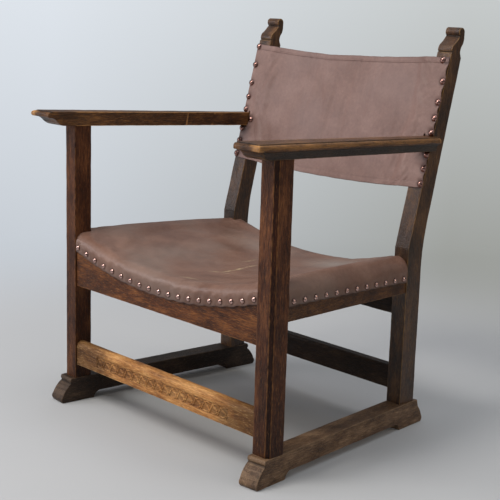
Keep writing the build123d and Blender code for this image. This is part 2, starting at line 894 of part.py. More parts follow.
def cover_form(inset):
    shoulder = cover_shoulder - inset
    with BuildPart() as form:
        for y in (cover_front + inset, cover_rear - inset):
            share = (y - leg_back) / side_rail_run
            half_width = cover_side(y) - inset
            crest = between(cover_front_crest, cover_rear_crest, share) - inset
            hollow = between(cover_front_hollow, cover_rear_hollow, share) - inset
            rise = crest - hollow
            turn_radius = ((half_width - shoulder) ** 2 + rise**2) / (2 * rise)
            swing = asin((half_width - shoulder) / turn_radius)
            join_x = (turn_radius - shoulder) * sin(swing)
            join_z = hollow + (turn_radius - shoulder) * (1 - cos(swing))
            middle_x = half_width - shoulder
            middle_z = crest - shoulder
            top_x = middle_x + shoulder * sin(radians(cover_shoulder_angle))
            top_z = middle_z + shoulder * cos(radians(cover_shoulder_angle))
            low = crest - cover_skirt
            with BuildSketch(Plane.XZ.offset(-y)):
                with BuildLine():
                    dish = ThreePointArc((-join_x, join_z), (0, hollow), (join_x, join_z))
                    ThreePointArc(dish @ 1, (top_x, top_z), (half_width, middle_z))
                    ThreePointArc(dish @ 0, (-top_x, top_z), (-half_width, middle_z))
                    Polyline(
                        (half_width, middle_z),
                        (half_width, low),
                        (-half_width, low),
                        (-half_width, middle_z),
                    )
                make_face()
        loft(ruled=True)
        for end, roll in ((0, cover_front_roll), (-1, cover_rear_roll)):
            rolled_edges = form.faces().sort_by(Axis.Y)[end].edges().sort_by(Axis.Z)[1:]
            fillet(rolled_edges, radius=roll - inset)
        cut_for_posts()
    return form.part


def cut_below_edge(low_y, high_y, edge_height):
    reach = leg_outer
    with BuildSketch(Plane.XZ.offset(-low_y)) as section:
        with BuildLine():
            rise = dish_rise(reach, edge_radius)
            hem = ThreePointArc((-reach, edge_height + rise), (0, edge_height), (reach, edge_height + rise))
            Polyline(hem @ 1, (reach, 0), (-reach, 0), hem @ 0)
        make_face()
    extrude(section.sketch, amount=low_y - high_y, mode=Mode.SUBTRACT)


def cut_below_dish(lift):
    reach = leg_outer
    rise = dish_rise(reach)
    with BuildSketch(dish_plane) as section:
        with BuildLine():
            hollow = ThreePointArc((-reach, lift + rise), (0, lift), (reach, lift + rise))
            Polyline(hollow @ 1, (reach, -dish_height), (-reach, -dish_height), hollow @ 0)
        make_face()
    extrude(section.sketch, amount=-overall_depth, mode=Mode.SUBTRACT)


outer_form = cover_form(0)
inner_form = cover_form(leather_thickness)
stuffing_form = cover_form(leather_thickness + upholstery_gap)

with BuildPart() as seat_leather:
    add(outer_form)
    add(inner_form, mode=Mode.SUBTRACT)
    cut_below_edge(cover_front - overrun, rail_back, front_edge_height)
    cut_below_edge(rear_rail_front, cover_rear + overrun, rear_edge_height)
    with BuildSketch(Plane.YZ.offset(-leg_outer - leg_width)):
        with BuildLine():
            Polyline(
                (rail_back, 0),
                (rail_back, side_edge_front),
                (leg_back, side_edge_front),
                (stile_front, side_edge_rear),
                (rear_rail_front, side_edge_rear),
                (rear_rail_front, 0),
                close=True,
            )
        make_face()
    extrude(amount=2 * (leg_outer + leg_width), mode=Mode.SUBTRACT)
    nail_holes(front_nails + rear_nails + side_nails + side_nail_places(-1))
export(seat_leather.part, "seat_leather")

# Base cloth on the webbing, and the stuffing that fills the cover above it
cloth_lift = web_thickness + tack_head + upholstery_gap / 3
with BuildPart() as base_cloth:
    cloth_front = rail_front + cloth_set_in / 2
    cloth_rear = rear_rail_back - cloth_set_in / 2
    dished_sheet(cloth_lift, cloth_thickness, leg_outer, cloth_front, cloth_rear)
    cut_for_posts()
    for side in (-1, 1):
        with BuildSketch(Plane.XY):
            with BuildLine():
                far_x = side * (leg_outer + leg_width)
                Polyline(
                    (side * side_rail_x(leg_front, cloth_set_in), leg_front),
                    (side * side_rail_x(stile_back, cloth_set_in), stile_back),
                    (far_x, stile_back),
                    (far_x, leg_front),
                    close=True,
                )
            make_face()
        extrude(amount=overall_height, mode=Mode.SUBTRACT)
export(base_cloth.part, "seat_base_cloth")

with BuildPart() as stuffing:
    add(stuffing_form)
    cut_below_dish(cloth_lift + cloth_thickness + upholstery_gap / 3)
export(stuffing.part, "seat_stuffing")

# Leather back: flat on the raked stiles and slack between them, with both long
# edges curved and a corner cut out on each side for the arm
back_section = Plane(origin=stile_face.origin, x_dir=(1, 0, 0), z_dir=stile_face.y_dir)
arm_end_inner = arm_inner - (arm_end_y - leg_front) * tan(radians(arm_inner_turn))
with BuildPart() as back_leather:
    with BuildSketch(back_section):
        with BuildLine():
            face = ThreePointArc(
                (-stile_inner, -back_thickness),
                (0, back_sag - back_thickness),
                (stile_inner, -back_thickness),
            )
            rear = ThreePointArc((-stile_inner, 0), (0, back_sag), (stile_inner, 0))
            for line, side in ((0, -1), (1, 1)):
                Polyline(
                    face @ line,
                    (side * back_half_width, -back_thickness),
                    (side * back_half_width, 0),
                    rear @ line,
                )
        make_face()
    extrude(amount=overall_height)
    with BuildSketch(stile_face):
        with BuildLine():
            back_low_ends = back_low + back_low_rise
            low_edge = ThreePointArc(
                (-back_half_width, back_low_ends), (0, back_low), (back_half_width, back_low_ends)
            )
            high_edge = ThreePointArc(
                (-back_half_width, back_high_ends), (0, back_high), (back_half_width, back_high_ends)
            )
            Line(low_edge @ 0, high_edge @ 0)
            Line(low_edge @ 1, high_edge @ 1)
        make_face()
    extrude(amount=overrun, both=True, mode=Mode.INTERSECT)
    cut_width = back_half_width - arm_end_inner + back_arm_gap
    with BuildSketch(stile_face):
        with Locations(
            (back_half_width - cut_width / 2 + overrun / 2, (arm_end_high + arm_end_low) / 2),
            (cut_width / 2 - back_half_width - overrun / 2, (arm_end_high + arm_end_low) / 2),
        ):
            Rectangle(cut_width + overrun, arm_end_high - arm_end_low + 2 * back_arm_gap)
    extrude(amount=overrun, both=True, mode=Mode.SUBTRACT)
    nail_holes(back_nails)
    nail_holes(back_nail_places(-1))
export(back_leather.part, "back_leather")

# Rows of nails


def nail_row(nail, places):
    with BuildPart() as row:
        with Locations(*places):
            add(nail)
    return row.part


export(nail_row(seat_nail, front_nails), "seat_nails_front")
export(nail_row(seat_nail, rear_nails), "seat_nails_rear")
export(nail_row(seat_nail, side_nails), "seat_nails_right")
export(nail_row(seat_nail, side_nail_places(-1)), "seat_nails_left")
export(nail_row(back_nail, back_nails), "back_nails_right")
export(nail_row(back_nail, back_nail_places(-1)), "back_nails_left")
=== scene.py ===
import bmesh
import bpy
import math
from mathutils import Matrix, Vector, kdtree, noise


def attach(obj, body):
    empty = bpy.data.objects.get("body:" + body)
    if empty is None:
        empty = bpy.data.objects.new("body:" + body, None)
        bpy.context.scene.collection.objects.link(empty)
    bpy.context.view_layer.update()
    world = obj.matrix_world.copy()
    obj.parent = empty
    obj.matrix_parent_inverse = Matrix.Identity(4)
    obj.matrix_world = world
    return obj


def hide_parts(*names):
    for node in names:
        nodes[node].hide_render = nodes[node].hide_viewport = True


# Oak fireside chair with a nailed leather seat and back. Metres throughout.
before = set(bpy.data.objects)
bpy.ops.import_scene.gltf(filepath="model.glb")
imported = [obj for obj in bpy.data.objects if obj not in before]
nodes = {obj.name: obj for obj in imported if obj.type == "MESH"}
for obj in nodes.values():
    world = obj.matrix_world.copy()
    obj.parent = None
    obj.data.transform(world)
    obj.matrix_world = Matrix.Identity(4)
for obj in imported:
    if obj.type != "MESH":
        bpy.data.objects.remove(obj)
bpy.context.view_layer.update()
print("stage: frame loaded")


# Small helpers

def toLinear(hexColour):
    parts = [int(hexColour[i:i + 2], 16) / 255 for i in (1, 3, 5)]
    return tuple(c / 12.92 if c <= 0.04045 else ((c + 0.055) / 1.055) ** 2.4 for c in parts) + (1.0,)


def setInputs(tree, node, inputs):
    # an input takes a value, a socket, or a node, which gives its first output
    for key, value in inputs.items():
        if isinstance(value, bpy.types.Node):
            value = value.outputs[0]
        if isinstance(value, bpy.types.NodeSocket):
            tree.links.new(value, node.inputs[key])
        else:
            node.inputs[key].default_value = value


def addNode(tree, kind, inputs=None, stops=None, **settings):
    node = tree.nodes.new("ShaderNode" + kind)
    for key, value in settings.items():
        setattr(node, key, value)
    setInputs(tree, node, inputs or {})
    if stops:
        ramp = node.color_ramp
        while len(ramp.elements) < len(stops):
            ramp.elements.new(0.5)
        for element, (place, colour) in zip(ramp.elements, stops):
            element.position = place
            element.color = toLinear(colour) if isinstance(colour, str) else (colour, colour, colour, 1)
    return node


def layColours(tree, base, layers):
    # lays each colour over what is below it, by its share
    for share, colour in layers:
        colour = toLinear(colour) if isinstance(colour, str) else colour
        base = addNode(tree, "Mix", {"Factor": share, 6: base, 7: colour}, data_type="RGBA").outputs[2]
    return base


def newMaterial(name):
    material = bpy.data.materials.new(name)
    material.use_nodes = True
    tree = material.node_tree
    tree.nodes.clear()
    shader = addNode(tree, "BsdfPrincipled")
    addNode(tree, "OutputMaterial", {"Surface": shader})
    return material, tree, shader


def newPiece(name, bm, materials, smoothAngle=35, replaced=()):
    mesh = bpy.data.meshes.new(name)
    bm.to_mesh(mesh)
    bm.free()
    mesh.shade_smooth()
    mesh.set_sharp_from_angle(angle=math.radians(smoothAngle))
    piece = bpy.data.objects.new(name, mesh)
    bpy.context.scene.collection.objects.link(piece)
    for material in materials:
        mesh.materials.append(material)
    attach(piece, "root")
    if replaced:
        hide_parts(*replaced)
    return piece


def thicken(piece, thickness, offset):
    wall = piece.modifiers.new("thickness", "SOLIDIFY")
    wall.thickness, wall.offset = thickness, offset


def mergedCopy(nodeName):
    bm = bmesh.new()
    bm.from_mesh(nodes[nodeName].data)
    bmesh.ops.remove_doubles(bm, verts=bm.verts[:], dist=0.00002)
    return bm


def looseParts(bm):
    # the vertices of each separate part, found along its edges
    left, parts = set(bm.verts), []
    while left:
        edge, part = [left.pop()], []
        while edge:
            vert = edge.pop()
            part.append(vert)
            for link in vert.link_edges:
                other = link.other_vert(vert)
                if other in left:
                    left.remove(other)
                    edge.append(other)
        parts.append(part)
    return parts


def newVerts(made):
    return [g for g in made["geom"] if isinstance(g, bmesh.types.BMVert)]


def noisePair(place, apart):
    # two noise values that don't follow each other
    return Vector((noise.noise(place), noise.noise(place + apart)))


def smoothStep(low, high, value):
    t = min(1, max(0, (value - low) / (high - low)))
    return t * t * (3 - 2 * t)


def between(low, high, share):
    return low + (high - low) * share


def pointTree(points):
    tree = kdtree.KDTree(max(1, len(points)))
    for index, point in enumerate(points):
        tree.insert(point, index)
    tree.balance()
    return tree


# Camera: solved from the chair's own straight edges
view = {
    "place": (1.7643, -1.6873, 0.8816),
    "azimuth": 46.327,
    "elevation": 12.125,
    "roll": 1.718,
    "lens": 85.33,
}


def makeCamera():
    azimuth, elevation, roll = (math.radians(view[k]) for k in ("azimuth", "elevation", "roll"))
    forward = Vector((
        -math.sin(azimuth) * math.cos(elevation),
        math.cos(azimuth) * math.cos(elevation),
        -math.sin(elevation),
    ))
    right = Vector((math.cos(azimuth), math.sin(azimuth), 0))
    up = right.cross(forward)
    rolledRight = math.cos(roll) * right + math.sin(roll) * up
    rolledUp = -math.sin(roll) * right + math.cos(roll) * up
    data = bpy.data.cameras.new("camera")
    data.lens = view["lens"]
    data.sensor_width = 36
    data.clip_end = 200
    camera = bpy.data.objects.new("camera", data)
    place = Matrix((rolledRight, rolledUp, -forward)).transposed().to_4x4()
    place.translation = Vector(view["place"])
    camera.matrix_world = place
    bpy.context.scene.collection.objects.link(camera)
    bpy.context.scene.camera = camera


makeCamera()
print("stage: camera placed")

# Light and floor: a pale studio sweep, lit softly from above and from the left of the front
studio = {
    "floorRadius": 300,
    "left": ("#dfe5ec", "#c7cdd4", "#c9cbcd"),
    "right": ("#c5c9c9", "#9d9f9b", "#b2b2af"),
    "nearLight": "#babcbe",
    "nearReach": (0.7, 2.0),
    "turnFrom": (1.7643, -1.6873, 0.0),
    "across": (0.691, 0.723, 0.0),
    "away": (-0.723, 0.691, 0.0),
    "farFrom": 2.05,
    "swing": 0.17,
    "aim": (0, 0, 0.35),
    "worldUp": "#f4f8fc",
    "worldLevel": "#6f7277",
    "worldStrength": 0.48,
}
lamps = {
    "windowLamp": {"place": (-0.6, -2.3, 3.2), "size": 1.7, "power": 82, "colour": "#fffaf4"},
    "paneLamp": {"place": (-2.6, -2.5, 1.5), "size": 1.8, "power": 40, "colour": "#fbf4f6"},
    "ceilingLamp": {"place": (0.3, 0.4, 3.3), "size": 2.4, "power": 20, "colour": "#f6f9ff"},
    "doorLamp": {"place": (2.9, 1.3, 1.7), "size": 1.5, "power": 12, "colour": "#ffe8cc"},
}


def paperTone(tree, place, turnFrom):
    # painted light and shade on the backdrop: bluer towards the window on the left, greyer on the right, and
    # a painted darker band where a paper sweep would turn up
    turned = addNode(tree, "VectorMath", {0: place, 1: turnFrom}, operation="SUBTRACT")
    deep, side = (
        addNode(tree, "VectorMath", {0: turned, 1: studio[way]}, operation="DOT_PRODUCT").outputs["Value"]
        for way in ("away", "across")
    )
    reach = addNode(tree, "Math", {0: deep}, operation="ABSOLUTE")
    reach = addNode(tree, "Math", {0: reach, 1: 0.5}, operation="MAXIMUM")
    near = addNode(tree, "Math", {0: studio["farFrom"], 1: reach}, operation="DIVIDE", use_clamp=True)
    swing = addNode(tree, "Math", {0: side, 1: reach}, operation="DIVIDE")
    swing = addNode(tree, "MapRange", {
        "Value": swing, "From Min": -studio["swing"], "From Max": studio["swing"],
    })
    left, right = (
        addNode(tree, "ValToRGB", {"Fac": near}, stops=list(zip((0, 0.5, 0.95), studio[name])))
        for name in ("left", "right")
    )
    return layColours(tree, left, [(swing, right)])


def makeStage():
    bm = bmesh.new()
    bmesh.ops.create_circle(bm, cap_ends=True, segments=96, radius=studio["floorRadius"])
    mesh = bpy.data.meshes.new("floor")
    bm.to_mesh(mesh)
    bm.free()
    floor = bpy.data.objects.new("floor", mesh)
    bpy.context.scene.collection.objects.link(floor)
    # matt paper, which fades far away into the painted backdrop tone, shown to the camera as a glow
    material, tree, shader = newMaterial("paleStudioPaper")
    place = addNode(tree, "TexCoord").outputs["Object"]
    distance = addNode(tree, "VectorMath", {0: place}, operation="LENGTH").outputs["Value"]
    fade = addNode(tree, "MapRange", {
        "Value": distance, "From Min": studio["nearReach"][0], "From Max": studio["nearReach"][1],
    }, interpolation_type="SMOOTHSTEP")
    far = paperTone(tree, place, studio["turnFrom"])
    tone = layColours(tree, toLinear(studio["nearLight"]), [(fade, far)])
    setInputs(tree, shader, {"Base Color": tone, "Roughness": 0.9})
    glow = addNode(tree, "Emission", {"Color": far, "Strength": 1.0})
    path = addNode(tree, "LightPath").outputs["Is Camera Ray"]
    seen = addNode(tree, "Math", {0: path, 1: fade}, operation="MULTIPLY")
    mix = addNode(tree, "MixShader", {0: seen, 1: shader, 2: glow})
    setInputs(tree, tree.nodes["Material Output"], {"Surface": mix})
    mesh.materials.append(material)

    world = bpy.data.worlds.new("studio")
    world.use_nodes = True
    tree = world.node_tree
    tree.nodes.clear()
    direction = addNode(tree, "TexCoord").outputs["Generated"]
    split = addNode(tree, "SeparateXYZ", {0: direction})
    height = addNode(
        tree, "ValToRGB", {"Fac": split.outputs[2]},
        stops=[(0.0, studio["worldLevel"]), (0.75, studio["worldUp"])],
    )
    room = addNode(tree, "Background", {"Color": height, "Strength": studio["worldStrength"]})
    distant = addNode(tree, "VectorMath", {0: direction, 1: (500, 500, 500)}, operation="MULTIPLY")
    # to the camera the world shows the same painted backdrop
    paper = addNode(tree, "Background", {"Color": paperTone(tree, distant, (0, 0, 0)), "Strength": 1.0})
    path = addNode(tree, "LightPath").outputs["Is Camera Ray"]
    mix = addNode(tree, "MixShader", {0: path, 1: room, 2: paper})
    addNode(tree, "OutputWorld", {"Surface": mix})
    bpy.context.scene.world = world

    for name, lamp in lamps.items():
        data = bpy.data.lights.new(name, "AREA")
        data.shape = "DISK"
        data.size = lamp["size"]
        data.energy = lamp["power"]
        data.color = toLinear(lamp["colour"])[:3]
        light = bpy.data.objects.new(name, data)
        light.location = lamp["place"]
        aim = Vector(studio["aim"]) - light.location
        light.rotation_mode = "QUATERNION"
        light.rotation_quaternion = aim.to_track_quat("-Z", "Y")
        bpy.context.scene.collection.objects.link(light)
    bpy.context.scene.view_settings.view_transform = "Standard"


makeStage()
print("stage: floor and lamps")

# Oak: fumed boards, stained dark and waxed, rubbed pale where hands and shoes reach.
# The eye sees open pores, streaks along the grain, cloudy stain, tan worn arrises, and dirt and painted shade
# in the corners; some faces and the boards that stand in the chair's own shade are painted darker as shade.

def agedOak(name, look):
    material, tree, shader = newMaterial(name)
    # the grain attribute holds metres along, across and through the board
    grain = addNode(tree, "Attribute", attribute_name="grain").outputs["Vector"]
    worn = addNode(tree, "Attribute", attribute_name="worn").outputs["Fac"]
    nook = addNode(tree, "Attribute", attribute_name="nook").outputs["Fac"]

    def along(scale, detail, roughness):
        place = addNode(tree, "Mapping", {0: grain, "Scale": scale})
        return addNode(tree, "TexNoise", {0: place, "Scale": 1, "Detail": detail, "Roughness": roughness})

    cloud = along((13, 34, 34), 5, 0.62)
    streak = along((24, 420, 420), 5, 0.68)  # streaks about 2.4 mm wide and 42 mm long
    fine = along((85, 980, 980), 3, 0.6)  # fibres about 1 mm wide and 12 mm long
    # pores are 0.3 mm wide in the wood, drawn at about 0.9 mm by 14 mm so that they show
    pores = along((72, 1100, 1100), 2, 0.5)
    pit = addNode(tree, "MapRange", {"Value": pores, "From Min": 0.55, "From Max": 0.66})
    tone = addNode(tree, "Math", {0: streak, 1: 0.8, 2: cloud}, operation="MULTIPLY_ADD")
    tone = addNode(tree, "Math", {0: fine, 1: 0.45, 2: tone}, operation="MULTIPLY_ADD")
    tone = addNode(tree, "MapRange", {"Value": tone, "From Min": 0.84, "From Max": 1.41})
    colour = addNode(
        tree, "ValToRGB", {"Fac": tone},
        stops=[(0.05, look["dark"]), (0.5, look["middle"]), (0.95, look["light"])],
    )
    # slow change of tone from one end of the board to the other
    split = addNode(tree, "SeparateXYZ", {0: grain})
    low, high = look["length"]
    ends = addNode(tree, "MapRange", {"Value": split, "From Min": low, "From Max": high})
    wander = addNode(tree, "Math", {0: cloud, 1: 0.24, 2: ends}, operation="MULTIPLY_ADD")
    wander = addNode(tree, "Math", {0: wander, 1: 0.12}, operation="SUBTRACT")
    board = addNode(tree, "ValToRGB", {"Fac": wander}, stops=look["along"])
    multiplyBlend = {"data_type": "RGBA", "blend_type": "MULTIPLY"}
    shade = addNode(tree, "Mix", {"Factor": 1.0, 6: colour, 7: board}, **multiplyBlend).outputs[2]
    if "shadedFacing" in look:  # painted shade: a face turned towards this direction is darkened by the tint
        shadedFacing, tint = look["shadedFacing"]
        normal = addNode(tree, "NewGeometry").outputs["True Normal"]
        towards = {0: normal, 1: Vector(shadedFacing).normalized()}
        turned = addNode(tree, "VectorMath", towards, operation="DOT_PRODUCT").outputs["Value"]
        shadedShare = addNode(tree, "MapRange", {"Value": turned, "From Min": 0.8, "From Max": 0.95})
        shadedTint = addNode(tree, "Mix", {"Factor": 1.0, 6: shade, 7: toLinear(tint)}, **multiplyBlend)
        shade = layColours(tree, shade, [(shadedShare, shadedTint.outputs[2])])
    # raised fibres between the pores have caught the wax and shine tan
    lit = addNode(tree, "MapRange", {
        "Value": fine, "From Min": 0.57, "From Max": 0.7, "To Max": look.get("flecked", 0.4),
    })
    pitted = addNode(tree, "Math", {0: pit, 1: look.get("pitted", 0.6)}, operation="MULTIPLY")
    # arrises: the stain has gone unevenly, in patches a few centimetres long with flecks about 2 mm across
    rub = along((45, 160, 160), 5, 0.7)
    fleck = along((260, 620, 620), 3, 0.6)
    patch = addNode(tree, "Math", {0: fleck, 1: 0.5, 2: rub}, operation="MULTIPLY_ADD")
    patch = addNode(tree, "Math", {0: patch, 1: worn, 2: worn}, operation="MULTIPLY_ADD")
    rubFrom = look.get("rubFrom", 1.22)
    bare = addNode(tree, "MapRange", {
        "Value": patch, "From Min": rubFrom, "From Max": rubFrom + 0.62, "To Max": look.get("rubMost", 0.7),
    })
    # dirt and painted shade in the corners, laid in the pore colour
    dirtAndShade = addNode(tree, "Math", {0: nook, 1: look.get("dirtAndShade", 0.75)}, operation="MULTIPLY")
    shade = layColours(tree, shade, [
        (lit, look["worn"]), (pitted, look["poreAndShade"]), (bare, look["worn"]), (dirtAndShade, look["poreAndShade"]),
    ])
    gloss = look.get("gloss", 0.46)
    rough = addNode(tree, "MapRange", {
        "Value": streak, "From Min": 0.3, "From Max": 0.7, "To Min": gloss - 0.07, "To Max": gloss + 0.09,
    })
    relief = addNode(tree, "Math", {0: pit, 1: -0.9, 2: streak}, operation="MULTIPLY_ADD")
    relief = addNode(tree, "Math", {0: fine, 1: 0.5, 2: relief}, operation="MULTIPLY_ADD")
    bump = addNode(tree, "Bump", {"Height": relief, "Strength": 0.6, "Distance": 0.0007})
    setInputs(tree, shader, {
        "Base Color": shade, "Roughness": rough, "Normal": bump,
        "IOR": 1.48, "Specular IOR Level": look.get("shine", 0.22),
    })
    return material


plain = [(0, 0.92), (0.5, 1.0), (1, 0.92)]
oakLooks = {
    "fumedOakLegs": {
        "dark": "#25110a", "middle": "#4c2917", "light": "#7b4c2c", "poreAndShade": "#120804", "worn": "#a06c3c",
        "rubFrom": 1.34, "rubMost": 0.6, "length": (0.0, 0.62), "along": [(0, 0.56), (0.35, 0.88), (1, 1.04)],
        # painted shade on the chamfer, which faces the dark side of the room
        "shadedFacing": ((0.7, -0.7, 0), "#a38c82"),
    },
    "fumedOakStiles": {
        "dark": "#22140b", "middle": "#442a17", "light": "#6f4c2b", "poreAndShade": "#110a05", "worn": "#96703f",
        "length": (0.0, 0.83), "along": [(0, 0.6), (0.4, 0.95), (1, 1.15)], "gloss": 0.34, "shine": 0.46,
    },
    "fumedOakFeet": {
        "dark": "#3b291b", "middle": "#684e38", "light": "#9a7c5e", "poreAndShade": "#1b120b", "worn": "#a98b6e",
        "length": (-0.28, 0.25), "along": plain, "gloss": 0.46, "rubMost": 0.45, "shine": 0.3,
    },
    "fumedOakArms": {
        "dark": "#2c1a0d", "middle": "#55361e", "light": "#8a5e34", "poreAndShade": "#120a05", "worn": "#c89256",
        "length": (-0.32, 0.24), "along": plain, "gloss": 0.32, "dirtAndShade": 0.92, "flecked": 0.25, "shine": 0.3,
        "rubFrom": 1.08, "rubMost": 0.85,
    },
    "fumedOakRails": {
        "dark": "#2e160a", "middle": "#5c3218", "light": "#935c30", "poreAndShade": "#150a05", "worn": "#a87238",
        "length": (-0.28, 0.28), "along": [(0, 0.7), (0.5, 1.05), (1, 0.8)], "flecked": 0.5,
    },
    "fumedOakSideRails": {
        "dark": "#25130a", "middle": "#472b18", "light": "#724c2c", "poreAndShade": "#120905", "worn": "#8f6636",
        "length": (-0.22, 0.19), "along": plain, "flecked": 0.4,
    },
    "rubbedOakStretcher": {
        "dark": "#7b4b25", "middle": "#b67d45", "light": "#e0aa6b", "poreAndShade": "#3e2411", "worn": "#e6bc86",
        "length": (-0.28, 0.28),
        "along": [(0.0, 0.26), (0.13, 0.4), (0.24, 0.95), (0.78, 1.0), (0.9, 0.38), (1.0, 0.26)],
        "gloss": 0.5, "pitted": 0.45, "dirtAndShade": 0.9, "flecked": 0.35,
    },
    "shadedOakFoot": {
        "dark": "#1b120c", "middle": "#33241a", "light": "#54402f", "poreAndShade": "#0f0a07", "worn": "#7c6652",
        "length": (-0.28, 0.25), "along": [(0, 1.0), (0.35, 0.75), (1, 0.55)],
        "gloss": 0.5, "rubMost": 0.4, "shine": 0.3,
    },
    "shadedOakRear": {
        "dark": "#150e09", "middle": "#291b12", "light": "#463322", "poreAndShade": "#0c0805", "worn": "#66513a",
        "length": (-0.28, 0.28), "along": plain,
    },
}
oakMaterials = {name: agedOak(name, look) for name, look in oakLooks.items()}
print("stage: oak finishes")


def cutAcross(bm, normal, level):
    bmesh.ops.bisect_plane(
        bm, geom=bm.verts[:] + bm.edges[:] + bm.faces[:], dist=0.000001,
        plane_co=normal * level, plane_no=normal,
    )


def unit(axis):
    return Vector([1 if i == axis else 0 for i in range(3)])


def sinkPanel(bm, panel):
    # a shallow recess in the front face, which the carved panel fills
    for axis, levels in ((0, panel["x"]), (2, panel["z"])):
        for level in levels:
            cutAcross(bm, unit(axis), level)
    floor = []
    for face in bm.faces:
        m = face.calc_center_median()
        inside = panel["x"][0] < m.x < panel["x"][1] and panel["z"][0] < m.z < panel["z"][1]
        if inside and face.normal.y < -0.9:
            floor.append(face)
    made = bmesh.ops.extrude_face_region(bm, geom=floor)
    bmesh.ops.translate(bm, verts=newVerts(made), vec=(0, panel["depth"], 0))
    bmesh.ops.delete(bm, geom=floor, context="FACES_ONLY")
    bm.normal_update()


# wear of every board, and how far dirt and painted shade reach into its corners: metres, with the turn in
# degrees that makes an edge an arris
wear = {
    "sharp": 28, "pointStep": 0.003, "ringPitch": 0.008, "insets": (0.0018, 0.0045),
    "rungFrom": 0.009, "rungLevel": 0.0003, "rungCuts": 9,
    "arrisReach": (0.0042, 0.0005), "nookReach": (0.0045, 0.0004),
    "uneven": 0.00012, "chipped": 0.00012, "slow": 0.0003, "quick": 0.00028,
}


def timber(name, nodeName, board):
    # merged copy of the CAD board, its arrises rounded by wear and its faces a little uneven
    bm = mergedCopy(nodeName)
    bmesh.ops.dissolve_limit(
        bm, angle_limit=math.radians(0.5), verts=bm.verts[:], edges=bm.edges[:],
        use_dissolve_boundaries=False, delimit={"NORMAL"},
    )
    bm.normal_update()
    arrises, outer, inner = [], [], []
    for edge in bm.edges:
        if len(edge.link_faces) != 2:
            continue
        turn = edge.calc_face_angle_signed(0)
        a, b = (v.co.copy() for v in edge.verts)
        if abs(turn) > math.radians(wear["sharp"]) and board["arris"]((a + b) / 2, (a - b).length, a, b):
            arrises.append(edge)
            steps = max(1, int((a - b).length / wear["pointStep"]))
            (outer if turn > 0 else inner).extend(a.lerp(b, i / steps) for i in range(steps + 1))
    bmesh.ops.bevel(
        bm, geom=arrises, offset=board["round"], offset_type="OFFSET", segments=3, profile=0.5,
        affect="EDGES", clamp_overlap=False, material=-1, loop_slide=True,
    )
    if "panel" in board:
        sinkPanel(bm, board["panel"])
    # rings and rows, so that the faces and arrises can be uneven and worn a little way in
    axis = board["axis"]
    low, high = board["span"]
    count = int((high - low) / wear["ringPitch"])
    for index in range(1, count):
        cutAcross(bm, unit(axis), between(low, high, index / count))
    for side, near, far in board.get("sides", ()):
        for inset in wear["insets"]:
            cutAcross(bm, unit(side), near + inset)
            cutAcross(bm, unit(side), far - inset)
    rungs = [
        edge for edge in bm.edges
        if edge.calc_length() > wear["rungFrom"]
        and abs(edge.verts[0].co[axis] - edge.verts[1].co[axis]) < wear["rungLevel"]
    ]
    bmesh.ops.subdivide_edges(bm, edges=rungs, cuts=wear["rungCuts"], use_grid_fill=True)
    bmesh.ops.recalc_face_normals(bm, faces=bm.faces[:])
    bm.normal_update()
    grainLayer = bm.verts.layers.float_vector.new("grain")
    wornLayer = bm.verts.layers.float.new("worn")
    nookLayer = bm.verts.layers.float.new("nook")
    outerTree, innerTree = pointTree(outer), pointTree(inner)
    shift = board["shift"]
    rubbed = board.get("rubbed")
    for vert in bm.verts:
        p = vert.co.copy()
        vert[grainLayer] = Vector((p[axis], p[(axis + 1) % 3] + shift, p[(axis + 2) % 3] + shift * 1.7))
        worn = smoothStep(*wear["arrisReach"], outerTree.find(p)[2]) if outer else 0
        # dirt and painted shade along the concave corners
        nook = smoothStep(*wear["nookReach"], innerTree.find(p)[2]) if inner else 0
        # a board's own function adds rubbed wear and painted shade
        if rubbed:
            worn, nook = rubbed(p, worn, nook)
        vert[wornLayer], vert[nookLayer] = worn, nook
        slow = noise.noise(p * 30 + Vector((shift * 40, 0, 0)))
        quick = noise.noise(p * 110 + Vector((0, shift * 30, 0)))
        chipped = wear["chipped"] + wear["slow"] * slow + wear["quick"] * quick
        depth = board.get("uneven", wear["uneven"]) * slow + worn * chipped
        vert.co -= vert.normal * depth
    piece = newPiece(name, bm, [oakMaterials[board["finish"]]], 35, (nodeName,))
    weighted = piece.modifiers.new("flatFaces", "WEIGHTED_NORMAL")
    weighted.keep_sharp = True
    weighted.weight = 60


def longEdge(least):
    return lambda m, length, a, b: length > least


stileSides = (0.2438, 0.2802)
footTurn = math.radians(4.9)
footOrigin = Vector((0.3237, -0.25, 0))
footWidth = 0.0432
armTurn = math.radians(4.745)
arm = {
    "top": 0.634, "legFront": -0.25, "slope": 0.045, "outer": 0.3307, "nose": -0.309,
    "corner": Vector((0.336, -0.312, 0)), "cornerReach": 0.022,
    "noseRub": 0.7, "cornerRub": 0.9, "waxed": 0.3, "underShade": 0.9,
}
stretcher = {"rubbedFrom": (0.121, 0.128), "half": 0.27, "rub": 0.72}
# painted shade in the hollow above the seat
kink = {"height": 0.388, "reach": 0.028, "behind": 0.3, "dirtAndShade": 0.75}


def stileEdge(m, length, a, b):
    # the two outlines, but not the mortises in the inner face
    onSide = all(min(abs(abs(p.x) - side) for side in stileSides) < 0.0002 for p in (a, b))
    mortise = abs(m.x) < 0.245 and (0.075 < m.z < 0.14 or 0.24 < m.z < 0.345) and 0.182 < m.y < 0.208
    return onSide and not mortise and m.z > 0.054


def footAcross(p):
    # distance in from the outer face of the foot
    out = Vector((abs(p.x), p.y, 0)) - footOrigin
    return -(out.x * math.cos(footTurn) + out.y * math.sin(footTurn))


def footEdge(m, length, a, b):
    # edges whose ends are on the side faces; the mortises under the posts stay as they are
    return all(min(abs(footAcross(p)), abs(footAcross(p) - footWidth)) < 0.0003 for p in (a, b))


def armEdge(m, length, a, b):
    underLeg = -0.253 < m.y < -0.205 and m.z < 0.607 and 0.27 < abs(m.x) < 0.33
    inStile = m.y > 0.222 and abs(m.x) < 0.2804
    return not underLeg and not inStile


def railEdge(m, length, a, b):
    return length > 0.2 and m.z < 0.30


